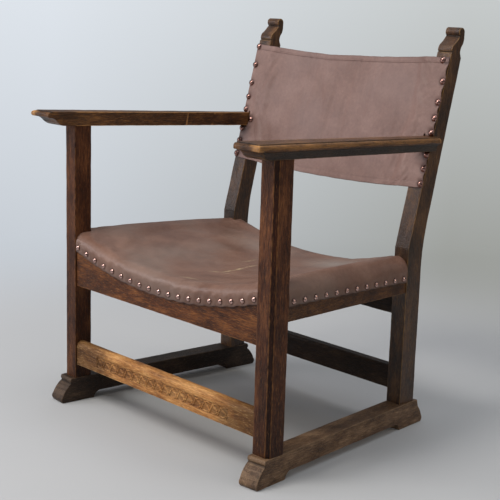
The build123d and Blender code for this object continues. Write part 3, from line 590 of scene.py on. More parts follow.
def armRubAndShade(p, worn, nook):
    # the rounded nose along the side and the front is rubbed all over, most of all at the front corner
    behind = p.y - arm["legFront"]
    drop = arm["top"] - behind * arm["slope"] - p.z
    side = (abs(p.x) - arm["outer"] + behind * math.tan(armTurn)) * math.cos(armTurn)
    front = arm["nose"] - p.y
    out = max(side, front)
    nose = smoothStep(0.0005, 0.003, side) * smoothStep(0.0125, 0.0095, drop)
    fromCorner = (Vector((abs(p.x), p.y, 0)) - arm["corner"]).length / arm["cornerReach"]
    corner = arm["cornerRub"] * math.exp(-fromCorner ** 2) * smoothStep(0.0005, 0.003, out)
    if front > side and abs(p.x) < 0.325:
        worn *= arm["waxed"]  # the front nose has kept its wax
    # painted shade under the rounded nose
    under = arm["underShade"] * smoothStep(0.0125, 0.0155, drop) if out > -0.008 else 0
    return max(worn, nose * arm["noseRub"], corner), max(nook, under)


def stretcherRub(p, worn, nook):
    # shoes have rubbed the rounded top
    top = smoothStep(*stretcher["rubbedFrom"], p.z) * (1 - min(1, abs(p.x) / stretcher["half"]) ** 6)
    return max(worn, top * stretcher["rub"]), nook


def stileShade(p, worn, nook):
    # painted shade: the hollow above the seat is darkened, less behind the back than in front of it
    inFront = p.y < 0.182 + max(0, p.z - 0.385) * 0.256
    hollow = math.exp(-((p.z - kink["height"]) / kink["reach"]) ** 2) * (1 if inFront else kink["behind"])
    return worn, max(nook, kink["dirtAndShade"] * hollow)


carvedPanel = {
    "x": (-0.2075, 0.2075), "z": (0.0946, 0.1178), "face": -0.2464, "depth": 0.0018,
    "pitch": 0.0244, "count": 17, "columns": 560, "rows": 32,
}
boards = {
    "leg": ("front_leg", {
        "arris": longEdge(0.2), "round": 0.0013, "axis": 2, "span": (0.05, 0.62), "finish": "fumedOakLegs",
        "sides": ((0, 0.2810, 0.3212), (1, -0.25, -0.2084)), "shift": 0.31,
    }),
    "stile": ("rear_stile", {
        "arris": stileEdge, "round": 0.0013, "axis": 2, "span": (0.05, 0.83), "finish": "fumedOakStiles",
        "sides": ((0, 0.2438, 0.2802),), "shift": 1.37, "rubbed": stileShade,
    }),
    "foot": ("sled_foot", {
        "arris": footEdge, "round": 0.0013, "axis": 1, "span": (-0.29, 0.26), "finish": "fumedOakFeet",
        "leftFinish": "shadedOakFoot", "sides": ((2, 0.0, 0.053),), "shift": 2.43,
    }),
    "arm": ("arm", {
        "arris": armEdge, "round": 0.0007, "axis": 1, "span": (-0.32, 0.25), "finish": "fumedOakArms",
        "sides": ((0, 0.262, 0.334),), "shift": 3.41, "uneven": 0.0001, "rubbed": armRubAndShade,
    }),
    "sideRail": ("side_seat_rail", {
        "arris": longEdge(0.2), "round": 0.0012, "axis": 1, "span": (-0.22, 0.19),
        "finish": "fumedOakSideRails", "shift": 5.33,
    }),
}
crossBoards = {
    "frontRail": ("front_seat_rail", {
        "arris": railEdge, "round": 0.0012, "axis": 0, "span": (-0.29, 0.29), "finish": "fumedOakRails",
        "sides": ((2, 0.2596, 0.36), (1, -0.2464, -0.2214)), "shift": 4.37,
    }),
    "rearRail": ("rear_seat_rail", {
        "arris": railEdge, "round": 0.0012, "axis": 0, "span": (-0.25, 0.25), "finish": "shadedOakRear",
        "shift": 4.91,
    }),
    "frontStretcher": ("front_stretcher", {
        "arris": longEdge(0.3), "round": 0.0014, "axis": 0, "span": (-0.29, 0.29),
        "finish": "rubbedOakStretcher", "sides": ((2, 0.083, 0.1265), (1, -0.2464, -0.2204)),
        "shift": 6.31, "rubbed": stretcherRub, "panel": carvedPanel,
    }),
    "rearStretcher": ("rear_stretcher", {
        "arris": longEdge(0.3), "round": 0.0012, "axis": 0, "span": (-0.25, 0.25), "finish": "shadedOakRear",
        "sides": ((2, 0.0792, 0.1284),), "shift": 6.83,
    }),
}
for boardName, (nodeName, board) in boards.items():
    for index, side in enumerate(("right", "left")):
        own = dict(board, shift=board["shift"] + 0.52 * index)
        if side == "left":
            own["finish"] = board.get("leftFinish", board["finish"])
            own["sides"] = [
                (axis, -far, -near) if axis == 0 else (axis, near, far)
                for axis, near, far in board.get("sides", ())
            ]
        timber(boardName + side.capitalize(), nodeName + "_" + side, own)
for boardName, (nodeName, board) in crossBoards.items():
    timber(boardName, nodeName, board)
print("stage: timber")


# Carving: a running band of S-scrolls with slanting bars between them, cut by hand in the front stretcher
scrollLine = [
    (9.5, 8.0, 0.8), (5.2, 10.2, 1.1), (-1.2, 10.0, 1.3), (-5.8, 7.2, 1.6), (-3.4, 3.6, 2.5), (0.6, 1.6, 3.0),
    (4.6, -0.8, 2.5), (6.2, -4.4, 1.7), (2.8, -8.4, 1.3), (-3.4, -9.9, 1.1), (-9.0, -8.2, 0.8),
]
carvedSlant = 0.56


def ridge(p, a, b, widthA, widthB):
    # height share of a rounded ridge between two points, in millimetres
    along = b - a
    t = min(1, max(0, (p - a).dot(along) / along.length_squared))
    gap = (p - a - along * t).length / between(widthA, widthB, t)
    return max(0, 1 - gap * gap) ** 0.5 if gap < 1 else 0


def carvedHeight(x, z, motif):
    # in millimetres; each scroll is cut a little off its place and its lines waver
    p = Vector((x * 1000, z * 1000)) + noisePair(Vector((motif * 3.1, 0, 0)), Vector((0, 5, 0))) * 0.9
    p += noisePair(Vector((x * 400, z * 400, motif)), Vector((0, 0, 9))) * 0.35
    best = 0
    for (ax, az, aw), (bx, bz, bw) in zip(scrollLine, scrollLine[1:]):
        best = max(best, ridge(p, Vector((ax, az)), Vector((bx, bz)), aw, bw))
    half = carvedPanel["pitch"] * 500
    for side in (-1, 1):
        foot, top = (Vector((side * half + end * carvedSlant, end)) for end in (-11, 11))
        best = max(best, 0.92 * ridge(p, foot, top, 1.35, 1.35))
    return best


def carveBand():
    panel = carvedPanel
    bm = bmesh.new()
    wornLayer = bm.verts.layers.float.new("worn")
    nookLayer = bm.verts.layers.float.new("nook")
    grainLayer = bm.verts.layers.float_vector.new("grain")
    bmesh.ops.create_grid(bm, x_segments=panel["columns"], y_segments=panel["rows"], size=0.5)
    middle = (panel["z"][0] + panel["z"][1]) / 2
    for vert in bm.verts:
        x = between(*panel["x"], vert.co.x + 0.5)
        z = between(*panel["z"], vert.co.y + 0.5)
        rim = min(panel["x"][1] - abs(x), z - panel["z"][0], panel["z"][1] - z)
        motif = round(x / panel["pitch"])
        best = 0
        for near in (motif - 1, motif, motif + 1):
            if abs(near) <= panel["count"] // 2:
                best = max(best, carvedHeight(x - near * panel["pitch"], z - middle, near))
        edge = smoothStep(0.0012, 0.0, rim)
        height = max(best, edge)
        ground = noise.noise(Vector((x, 0, z)) * 900) * 0.00012
        vert.co = Vector((x, panel["face"] + 0.0001 + 0.0015 * (1 - height) + ground * (1 - height), z))
        vert[grainLayer] = Vector((x, z + 6.31, 6.31 * 1.7))
        vert[wornLayer] = 0.66 * best ** 2
        # dirt and painted shade in the cuts, darkest at the foot of each ridge
        vert[nookLayer] = 0.22 * smoothStep(0.5, 0.0, height) + 0.78 * math.exp(-((height - 0.22) / 0.2) ** 2)
    shell = bmesh.ops.extrude_face_region(bm, geom=bm.faces[:])
    for vert in newVerts(shell):
        vert.co.y = panel["face"] + 0.003
    bmesh.ops.recalc_face_normals(bm, faces=bm.faces[:])
    newPiece("carvedBand", bm, [oakMaterials["rubbedOakStretcher"]], 60)


carveBand()
print("stage: carved band")

# Leather: chrome-tanned hide rubbed smooth, with cloudy dye, a fine pebble, dirt and painted shade at the
# nails, hems and arms, pale scuffs, and pale rubs that also stand for sheen

def wornHide(name, look):
    material, tree, shader = newMaterial(name)
    where = addNode(tree, "TexCoord").outputs["Object"]
    grimeAndShade = addNode(tree, "Attribute", attribute_name="grimeAndShade").outputs["Fac"]
    clouds = addNode(tree, "TexNoise", {
        0: where, "Scale": look["cloudScale"], "Detail": 5, "Roughness": 0.6, "Distortion": 0.4,
    })
    fine = addNode(tree, "TexNoise", {0: where, "Scale": 160, "Detail": 4, "Roughness": 0.65})
    tone = addNode(tree, "Math", {0: fine, 1: 0.45, 2: clouds}, operation="MULTIPLY_ADD")
    tone = addNode(tree, "MapRange", {"Value": tone, "From Min": 0.42, "From Max": 1.04})
    colour = addNode(
        tree, "ValToRGB", {"Fac": tone},
        stops=[(0.05, look["dark"]), (0.5, look["middle"]), (0.95, look["light"])],
    )
    # the dye is greyer in broad patches where it has faded
    fades = addNode(tree, "TexNoise", {0: where, "Scale": 5.5, "Detail": 3, "Roughness": 0.5})
    faded = addNode(tree, "MapRange", {
        "Value": fades, "From Min": 0.47, "From Max": 0.68, "To Max": look["fadeMost"],
    })
    # dirt and painted shade from the mesh attribute
    grimeAndShadeShare = addNode(tree, "Math", {0: grimeAndShade, 1: 0.85}, operation="MULTIPLY")
    layers = [(faded, look["faded"]), (grimeAndShadeShare, look["grimeAndShade"])]
    # a scuff breaks up along its length, and a rub is soft; the seat's rubs are pale wear and painted sheen
    # in one
    breaks = addNode(tree, "TexNoise", {0: where, "Scale": 240, "Detail": 3})
    broken = addNode(tree, "MapRange", {"Value": breaks, "From Min": 0.36, "From Max": 0.56})
    strokes = [(look["scuff"], True, *line) for line in look["scuffs"]]
    strokes += [(look["rub"], False, *line) for line in look["rubsAndSheen"]]
    for tint, flaking, start, end, thin, most in strokes:
        stroke = Vector(end) - Vector(start)
        place = addNode(tree, "Mapping", {
            0: where, "Location": ((start[0] + end[0]) / 2, (start[1] + end[1]) / 2, 0),
            "Rotation": (0, 0, math.atan2(stroke.y, stroke.x)), "Scale": (stroke.length * 0.62, thin, 10),
        }, vector_type="TEXTURE")
        reach = addNode(tree, "VectorMath", {0: place}, operation="LENGTH").outputs["Value"]
        mark = addNode(tree, "MapRange", {"Value": reach, "From Min": 1.0, "From Max": 0.15, "To Max": most})
        if flaking:
            mark = addNode(tree, "Math", {0: mark, 1: broken}, operation="MULTIPLY", use_clamp=True)
        layers.append((mark, tint))
    # pebble about 1.3 mm across, twice the real grain so that it shows
    pebble = addNode(tree, "TexVoronoi", {0: where, "Scale": 760, "Randomness": 1.0}, feature="F1")
    crease = addNode(tree, "TexNoise", {
        0: where, "Scale": 60, "Detail": 7, "Roughness": 0.7, "Distortion": 0.6,
    })
    relief = {0: crease, 1: 1.6, 2: pebble.outputs["Distance"]}
    relief = addNode(tree, "Math", relief, operation="MULTIPLY_ADD")
    bump = addNode(tree, "Bump", {"Height": relief, "Strength": 0.3, "Distance": 0.0005})
    rough = addNode(tree, "MapRange", {
        "Value": clouds, "From Min": 0.3, "From Max": 0.7,
        "To Min": look["gloss"] - 0.04, "To Max": look["gloss"] + 0.06,
    })
    setInputs(tree, shader, {
        "Base Color": layColours(tree, colour, layers), "Roughness": rough, "Normal": bump,
        "IOR": 1.5, "Specular IOR Level": look["shine"],
    })
    return material


seatHide = wornHide("wornHideSeat", {
    "dark": "#674a3d", "middle": "#7a5b4d", "light": "#8a6b5c",
    "faded": "#84756c", "fadeMost": 0.45, "cloudScale": 14, "gloss": 0.37, "shine": 0.36,
    "grimeAndShade": "#3f2b24", "scuff": "#c9b48e", "rub": "#a3968c",
    # pale worn patches, lightened also as a painted sheen
    "rubsAndSheen": [((0.05, 0.15), (0.25, 0.06), 0.07, 0.6), ((-0.2, 0.1), (0.0, 0.16), 0.06, 0.2)],
    "scuffs": [
        ((0.013, -0.131), (0.038, -0.115), 0.0048, 0.8), ((0.038, -0.115), (0.036, -0.076), 0.0042, 1.3),
        ((0.036, -0.076), (0.031, -0.051), 0.0055, 1.2), ((0.031, -0.051), (0.025, -0.004), 0.0034, 0.8),
        ((-0.015, -0.014), (-0.021, 0.042), 0.0036, 0.6), ((0.030, -0.2196), (0.075, -0.210), 0.0042, 1.2),
        ((0.0545, -0.131), (0.059, -0.097), 0.0048, 0.55),
    ],
})
backHide = wornHide("wornHideBack", {
    "dark": "#6f544c", "middle": "#81655d", "light": "#92766e",
    "faded": "#85706c", "fadeMost": 0.35, "cloudScale": 16, "gloss": 0.46, "shine": 0.36,
    "grimeAndShade": "#3a2523", "scuff": "#c4a673", "scuffs": [], "rub": "#a3968c", "rubsAndSheen": [],
})


def nailPlaces(*nodeNames):
    # the middle of each nail, read from the rows of nails
    places = []
    for nodeName in nodeNames:
        bm = mergedCopy(nodeName)
        places += [sum((vert.co for vert in nail), Vector()) / len(nail) for nail in looseParts(bm)]
        bm.free()
    return places


def besideNails(point, nails, tree, pitch):
    # how far the point is from the line between its two nearest nails, from the nearest, and how midway it is
    (a, b), near = [nails[found[1]] for found in tree.find_n(point, 2)], tree.find(point)[2]
    along = b - a
    if along.length > pitch * 1.5:
        return near, near, 0
    t = min(0.5, max(0, (point - a).dot(along) / along.length_squared))
    return (point - a - along * t).length, near, math.sin(math.pi * t) ** 2


def settle(bm, pinned, cloth):
    # the hide finds its own shape, held at its nails and edges and pressed out from inside, within a cap
    mesh = bpy.data.meshes.new("settling")
    bm.to_mesh(mesh)
    body = bpy.data.objects.new("settling", mesh)
    scene = bpy.context.scene
    scene.collection.objects.link(body)
    held = body.vertex_groups.new(name="held")
    for index, weight in enumerate(pinned):
        if weight > 0:
            held.add([index], weight, "REPLACE")
    modifier = body.modifiers.new("cloth", "CLOTH")
    modifier.point_cache.frame_end = cloth["frames"]
    settings = modifier.settings
    settings.quality = 4
    settings.mass = 0.4
    settings.tension_stiffness = settings.compression_stiffness = cloth["stretch"]
    settings.shear_stiffness = cloth["stretch"] * 0.6
    settings.bending_stiffness = cloth["bend"]
    settings.vertex_group_mass = "held"
    settings.use_pressure = True
    settings.uniform_pressure_force = cloth["pressure"]
    settings.shrink_min = -cloth["spare"]
    settings.effector_weights.gravity = 0
    for step in range(1, cloth["frames"] + 1):
        scene.frame_set(step)
    settled = body.evaluated_get(bpy.context.evaluated_depsgraph_get()).to_mesh()
    furthest = 0
    for vert, moved in zip(bm.verts, settled.vertices):
        shift = moved.co - vert.co
        furthest = max(furthest, shift.length)
        if shift.length > cloth["cap"]:
            shift *= cloth["cap"] / shift.length
        vert.co += shift
    bpy.data.objects.remove(body)
    bpy.data.meshes.remove(mesh)
    scene.frame_set(1)
    print("stage: hide settled, furthest point moved", round(furthest * 1000, 1), "mm")


# Seat: the outer face of the stuffed cover as a grid, with flaps between the posts
seat = {
    "front": -0.2489, "rear": 0.2092,
    "legBack": -0.2081, "stileFront": 0.1754,
    "legLine": 0.2807, "stileLine": 0.2435,
    "shoulder": 0.027, "frontRoll": 0.022, "rearRoll": 0.016,
    "crest": (0.3795, 0.368), "hollow": (0.338, 0.327), "railSide": (0.3192, 0.2782),
    "frontEdge": 0.2936, "rearEdge": 0.284, "edgeRadius": 0.927,
    "sideEdge": (0.335, 0.3164),
    "hide": 0.0022,
    "dish": 0.3199, "dishSlope": 0.018, "dishRadius": 1.0,
    "bulge": 0.0007, "ripple": 0.0008, "scallop": 0.0018, "dimple": 0.0006,
    "cloth": {"frames": 20, "stretch": 25, "bend": 1.5, "pressure": 0.4, "spare": 0.006, "cap": 0.0035},
}
columnCounts = {"dish": 66, "shoulder": 7, "side": 7}
rowCounts = {
    "frontDrop": 9, "frontRoll": 6, "frontTop": 4, "middle": 84, "rearTop": 4, "rearRoll": 5, "rearDrop": 9,
}
railRun = {"front": -0.2084, "length": 0.3841}  # the side rails, from the front posts to the rear ones


def hollowHeight(x, y, top, slope, radius):
    # the slack hollow that the webbing makes between the rails
    return top - (y + 0.25) * slope + radius - math.sqrt(radius ** 2 - x ** 2)


def seatShare(y):
    return (y - railRun["front"]) / railRun["length"]


def seatSide(y):
    return between(*seat["railSide"], seatShare(y)) + 0.0025142


def seatAcross(y, part, step):
    # one half of the section across the seat: dish, shoulder and side, each by its own share
    width, crest = seatSide(y), between(*seat["crest"], seatShare(y))
    hollow, shoulder = between(*seat["hollow"], seatShare(y)), seat["shoulder"]
    rise, run = crest - hollow, width - shoulder
    radius = (run ** 2 + rise ** 2) / (2 * rise)
    joinX = (radius - shoulder) * run / radius
    span = seat["stileFront"] - seat["legBack"]
    line = between(seat["legLine"], seat["stileLine"], min(1, max(0, (y - seat["legBack"]) / span)))
    if part == "dish":
        x = line * step
        return x, hollow + radius - math.sqrt(radius ** 2 - x ** 2)
    if part == "shoulder":
        angle = between(-math.asin((width - shoulder - joinX) / shoulder), math.pi / 2, step)
        return width - shoulder + shoulder * math.sin(angle), crest - shoulder + shoulder * math.cos(angle)
    edge = between(*seat["sideEdge"], seatShare(y))
    return width, between(crest - shoulder, edge, step)


def edgeHeight(x, low):
    return low + seat["edgeRadius"] - math.sqrt(seat["edgeRadius"] ** 2 - x ** 2)


def shareOut(counts, index):
    for part, count in counts.items():
        if index <= count:
            return part, index / count
        index -= count
    return part, 1.0


def seatPoint(column, row):
    # column counts from the middle of the seat to its side edge; row from the front edge to the rear one
    sign = -1 if column < 0 else 1
    across, step = shareOut(columnCounts, abs(column))
    along, share = shareOut(rowCounts, row)
    if along in ("frontDrop", "frontRoll", "rearRoll", "rearDrop"):
        atFront = along.startswith("front")
        roll = seat["frontRoll"] if atFront else seat["rearRoll"]
        face = seat["front"] if atFront else seat["rear"]
        way = 1 if atFront else -1
        x, top = seatAcross(face + way * roll, across, step)
        if along.endswith("Roll"):
            turn = (1 - share if atFront else share) * math.pi / 2
            y, z = face + way * roll * (1 - math.sin(turn)), top - roll * (1 - math.cos(turn))
            return Vector((sign * x, y, z))
        edge = edgeHeight(x, seat["frontEdge"] if atFront else seat["rearEdge"])
        fall = share if not atFront else 1 - share
        return Vector((sign * x, face, between(top - roll, edge, fall)))
    if along == "frontTop":
        y = between(seat["front"] + seat["frontRoll"], seat["legBack"], share)
    elif along == "middle":
        y = between(seat["legBack"], seat["stileFront"], share)
    else:
        y = between(seat["stileFront"], seat["rear"] - seat["rearRoll"], share)
    x, z = seatAcross(y, across, step)
    return Vector((sign * x, y, z))


def makeSeat():
    half = sum(columnCounts.values())
    rows = sum(rowCounts.values())
    bm = bmesh.new()
    depthLayer = bm.verts.layers.float.new("depth")
    grimeAndShadeLayer = bm.verts.layers.float.new("grimeAndShade")
    edgeLayer = bm.verts.layers.float.new("edge")
    bmesh.ops.create_grid(bm, x_segments=2 * half, y_segments=rows, size=0.5)
    flapFront = rowCounts["frontDrop"] + rowCounts["frontRoll"] + rowCounts["frontTop"]
    flapRear = flapFront + rowCounts["middle"]
    corners = []
    for face in bm.faces:
        middle = face.calc_center_median()
        column, row = (middle.x + 0.5) * 2 * half - half, (middle.y + 0.5) * rows
        if abs(column) > columnCounts["dish"] and (row < flapFront or row > flapRear):
            corners.append(face)
    bmesh.ops.delete(bm, geom=corners, context="FACES")
    for vert in bm.verts:
        column = round((vert.co.x + 0.5) * 2 * half) - half
        row = round((vert.co.y + 0.5) * rows)
        vert.co = seatPoint(column, row)
        x, y, z = vert.co
        hem = 1.0
        if row <= rowCounts["frontDrop"]:
            hem = z - edgeHeight(x, seat["frontEdge"])
        elif row >= rows - rowCounts["rearDrop"]:
            hem = z - edgeHeight(x, seat["rearEdge"])
        elif abs(column) >= half - columnCounts["side"]:
            hem = z - between(*seat["sideEdge"], seatShare(y))
        vert[edgeLayer] = hem
    bm.normal_update()
    nails = nailPlaces("seat_nails_front", "seat_nails_rear", "seat_nails_right", "seat_nails_left")
    tree = pointTree(nails)
    pinned = []
    for vert in bm.verts:
        near = tree.find(vert.co)[2]
        pinned.append(1.0 if vert.is_boundary or near < 0.007 else 0.35 * smoothStep(0.02, 0.007, near))
    settle(bm, pinned, seat["cloth"])
    bm.normal_update()
    shifts = []
    for vert in bm.verts:
        p, n = vert.co.copy(), vert.normal.copy()
        gap, near, midway = besideNails(p, nails, tree, 0.033)
        lift = seat["bulge"] * midway * math.exp(-(gap / 0.012) ** 2)
        lift += seat["ripple"] * midway * math.exp(-gap / 0.02)
        lift -= seat["dimple"] * math.exp(-(near / 0.0068) ** 2)
        lift += (0.0005 * noise.noise(p * 14) + 0.00025 * noise.noise(p * 45)) * smoothStep(0.005, 0.03, near)
        shift = n * lift
        shift.z += seat["scallop"] * midway * smoothStep(0.011, 0.0, vert[edgeLayer])
        shifts.append(shift)
        # dirt and painted shade: a dark ring in the crease round each nail, a dark line at the hem, and the
        # skirt painted darker towards its lower edge
        grimeAndShade = 0.6 * math.exp(-((near - 0.0058) / 0.0016) ** 2)
        grimeAndShade += 0.75 * smoothStep(0.0035, 0, vert[edgeLayer])
        vert[grimeAndShadeLayer] = min(1, grimeAndShade + 0.34 * smoothStep(0.04, 0.004, vert[edgeLayer]))
    for vert, shift in zip(bm.verts, shifts):
        vert.co += shift
    bm.normal_update()
    # the underside follows the webbing; at the rolls and flaps only the hide's own thickness is left
    for vert in bm.verts:
        p, n = vert.co, vert.normal
        floorZ = hollowHeight(p.x, p.y, seat["dish"], seat["dishSlope"], seat["dishRadius"])
        flat = smoothStep(0.86, 0.985, n.z)
        vert[depthLayer] = max(seat["hide"], between(seat["hide"], p.z - floorZ, flat))
    shell = bmesh.ops.extrude_face_region(bm, geom=bm.faces[:])
    for vert in newVerts(shell):
        n = vert.normal.copy()
        vert.co = vert.co - n * vert[depthLayer] if n.z < 0.86 else vert.co - Vector((0, 0, vert[depthLayer]))
    bmesh.ops.recalc_face_normals(bm, faces=bm.faces[:])
    piece = newPiece("seatCover", bm, [seatHide], 50, ("seat_leather", "seat_stuffing"))


makeSeat()
print("stage: seat cover")

# Back: a hide stretched between the stiles and nailed to their raked faces, stitched along both long hems
back = {
    "foot": Vector((0, 0.1757, 0.385)), "rake": 14.36,
    "halfWidth": 0.281, "low": 0.119, "lowRise": 0.009, "high": 0.38604, "highRise": 0.012,
    "sag": 0.006, "thick": 0.0025, "stileInner": 0.2438,
    "armLow": 0.2034, "armHigh": 0.2353, "armLine": 0.2590,
    "hem": 0.0115, "hemRise": 0.0011, "stitch": 0.0098, "stitchDepth": 0.0005,
    "bulge": 0.0012, "ripple": 0.0011, "scallop": 0.0022, "dimple": 0.0012,
    "columns": 150,
    "cloth": {"frames": 16, "stretch": 30, "bend": 1.5, "pressure": 0.15, "spare": 0.006, "cap": 0.003},
}
backTilt = math.radians(back["rake"])
backUp = Vector((0, math.sin(backTilt), math.cos(backTilt)))
backOut = Vector((0, -math.cos(backTilt), math.sin(backTilt)))
hemPlaces = [0, 0.0012, 0.003, 0.0055, 0.0078, 0.0090, 0.0098, 0.0106, 0.0114, 0.0122, 0.0138, 0.017]
middleRows = 50


def backRows():
    # heights up the back, closer together at the hems
    height = back["high"] - back["low"]
    inner = height - 2 * hemPlaces[-1]
    middle = [hemPlaces[-1] + inner * index / middleRows for index in range(1, middleRows)]
    return hemPlaces + middle + [height - place for place in reversed(hemPlaces)]


def makeBack():
    places = backRows()
    columns, rows = back["columns"], len(places) - 1
    bm = bmesh.new()
    grimeAndShadeLayer = bm.verts.layers.float.new("grimeAndShade")
    edgeLayer = bm.verts.layers.float_vector.new("edge")
    bmesh.ops.create_grid(bm, x_segments=columns, y_segments=rows, size=0.5)
    height = back["high"] - back["low"]
    for vert in bm.verts:
        x = vert.co.x * 2 * back["halfWidth"]
        place = places[round((vert.co.y + 0.5) * rows)]
        bow = (x / back["halfWidth"]) ** 2
        rise = between(back["lowRise"], back["highRise"], place / height) * bow
        # the right half of the top edge stands a little higher, as the hide has stretched unevenly
        lifted = smoothStep(-0.06, 0.03, x) * smoothStep(0.27, 0.23, x)
        rise += 0.0026 * lifted * smoothStep(0.5, 1, place / height)
        hang = max(0, 1 - (x / back["stileInner"]) ** 2) * back["sag"]
        up = back["low"] + place + rise
        vert.co = back["foot"] + Vector((x, 0, 0)) + backUp * up + backOut * (back["thick"] - hang)
        vert[edgeLayer] = Vector((x, place, up))
    notch = [
        face for face in bm.faces
        if all(abs(v[edgeLayer].x) > back["armLine"] - 0.002 for v in face.verts)
        and all(back["armLow"] - 0.003 < v[edgeLayer].z < back["armHigh"] + 0.003 for v in face.verts)
    ]
    bmesh.ops.delete(bm, geom=notch, context="FACES")
    bmesh.ops.recalc_face_normals(bm, faces=bm.faces[:])
    if sum(f.normal.dot(backOut) for f in bm.faces) < 0:
        bmesh.ops.reverse_faces(bm, faces=bm.faces[:])
    bm.normal_update()
    nails = nailPlaces("back_nails_right", "back_nails_left")
    tree = pointTree(nails)
    pinned = []
    for vert in bm.verts:
        near = tree.find(vert.co)[2]
        pinned.append(1.0 if near < 0.0085 else 0.5 * smoothStep(0.215, 0.262, abs(vert[edgeLayer].x)))
    settle(bm, pinned, back["cloth"])
    bm.normal_update()
    for vert in bm.verts:
        x, place, up = vert[edgeLayer]
        p = vert.co.copy()
        gap, near, midway = besideNails(p, nails, tree, 0.045)
        fromEdge = min(place, height - place)
        lift = back["hemRise"] * smoothStep(back["hem"] + 0.0008, back["hem"] - 0.0008, fromEdge)
        lift -= back["stitchDepth"] * math.exp(-((fromEdge - back["stitch"]) / 0.0007) ** 2)
        lift += back["bulge"] * midway * math.exp(-(gap / 0.014) ** 2)
        lift += back["ripple"] * midway * math.exp(-gap / 0.03)
        lift -= back["dimple"] * math.exp(-(near / 0.0085) ** 2)
        lift += 0.0011 * noise.noise(p * 11) + 0.0004 * noise.noise(p * 34)
        # a soft upright fold beside the end of the left arm, above its inboard nail
        fold = math.exp(-((x + 0.244 + 0.12 * (up - 0.235)) / 0.006) ** 2)
        lift += 0.0022 * fold * smoothStep(0.215, 0.24, up) * smoothStep(0.33, 0.25, up)
        shift = backOut * lift
        side = 1 if x > 0 else -1
        pull = back["scallop"] * midway * smoothStep(0.262, 0.281, abs(x))
        shift -= Vector((side * pull, 0, 0))
        shift += backUp * (0.0006 * noise.noise(Vector((x * 40, place * 9, 0))))
        vert.co += shift
        # dirt and painted shade round each nail, at the hem line and along the cut edge; painted shade in the
        # corner below each arm
        grimeAndShade = 0.85 * math.exp(-((near - 0.0068) / 0.003) ** 2)
        grimeAndShade += 0.22 * math.exp(-((fromEdge - back["hem"] - 0.0004) / 0.0011) ** 2)
        grimeAndShade += 0.7 * smoothStep(0.0016, 0, fromEdge)
        cornerGap = Vector((abs(x) - 0.262, up - back["armLow"] + 0.008)).length
        grimeAndShade += 0.8 * math.exp(-(cornerGap / 0.016) ** 2)
        vert[grimeAndShadeLayer] = min(1, grimeAndShade)
    piece = newPiece("backHide", bm, [backHide], 50, ("back_leather",))
    thicken(piece, back["thick"], -1)
    smooth = piece.modifiers.new("smooth", "SUBSURF")
    smooth.levels = smooth.render_levels = 1


makeBack()
print("stage: back")

# Nails: pressed copper-plated domes, brown in the hollows and bright on the crowns

def copperedSteel(name, stops):
    material, tree, shader = newMaterial(name)
    where = addNode(tree, "TexCoord").outputs["Object"]
    stain = addNode(tree, "TexNoise", {0: where, "Scale": 420, "Detail": 4, "Roughness": 0.6})
    colour = addNode(tree, "ValToRGB", {"Fac": stain}, stops=stops)
    rough = addNode(tree, "MapRange", {"Value": stain, "To Min": 0.14, "To Max": 0.26})
    setInputs(tree, shader, {"Base Color": colour, "Metallic": 1, "Roughness": rough})
    return material


rubbedCopper = copperedSteel("rubbedCopperPlate", [(0.3, "#86655d"), (0.5, "#b8958c"), (0.72, "#dcc0b8")])
agedCopper = copperedSteel("agedCopperPlate", [(0.3, "#6c4a42"), (0.5, "#96726a"), (0.72, "#b9958b")])
nailRows = {
    "seat": (rubbedCopper, ("front", "rear", "right", "left")),
    "back": (agedCopper, ("right", "left")),
    "swell": 1.16, "topAbove": 0.75, "topShift": (-0.0105, 0, 0),
}


def makeNails(row, side, metal):
    # pressed domes sit a little proud, and their rims spread over the hide
    nodeName = row + "_nails_" + side
    bm = mergedCopy(nodeName)
    for nail in looseParts(bm):
        middle = sum((vert.co for vert in nail), Vector()) / len(nail)
        for vert in nail:
            vert.co = middle + (vert.co - middle) * nailRows["swell"]
    if nodeName == "back_nails_right":  # the top one was driven further in than its row
        top = [vert for vert in bm.verts if vert.co.z > nailRows["topAbove"]]
        bmesh.ops.translate(bm, verts=top, vec=nailRows["topShift"])
    newPiece(row + "Nails" + side.capitalize(), bm, [metal], 50, (nodeName,))


for row in ("seat", "back"):
    metal, sides = nailRows[row]
    for side in sides:
        makeNails(row, side, metal)


def bluedSteel():
    material, tree, shader = newMaterial("bluedSteelTacks")  # dull blue-black cut tacks
    where = addNode(tree, "TexCoord").outputs["Object"]
    rust = addNode(tree, "TexNoise", {0: where, "Scale": 300, "Detail": 3})
    colour = addNode(tree, "ValToRGB", {"Fac": rust}, stops=[(0.4, "#2b2c31"), (0.7, "#4a3b33")])
    setInputs(tree, shader, {"Base Color": colour, "Metallic": 0.9, "Roughness": 0.5})
    return material


nodes["webbing_tacks"].data.materials.clear()
nodes["webbing_tacks"].data.materials.append(bluedSteel())
print("stage: nails and tacks")

# Webbing and base cloth under the seat: jute strips woven through each other, with open hessian on them

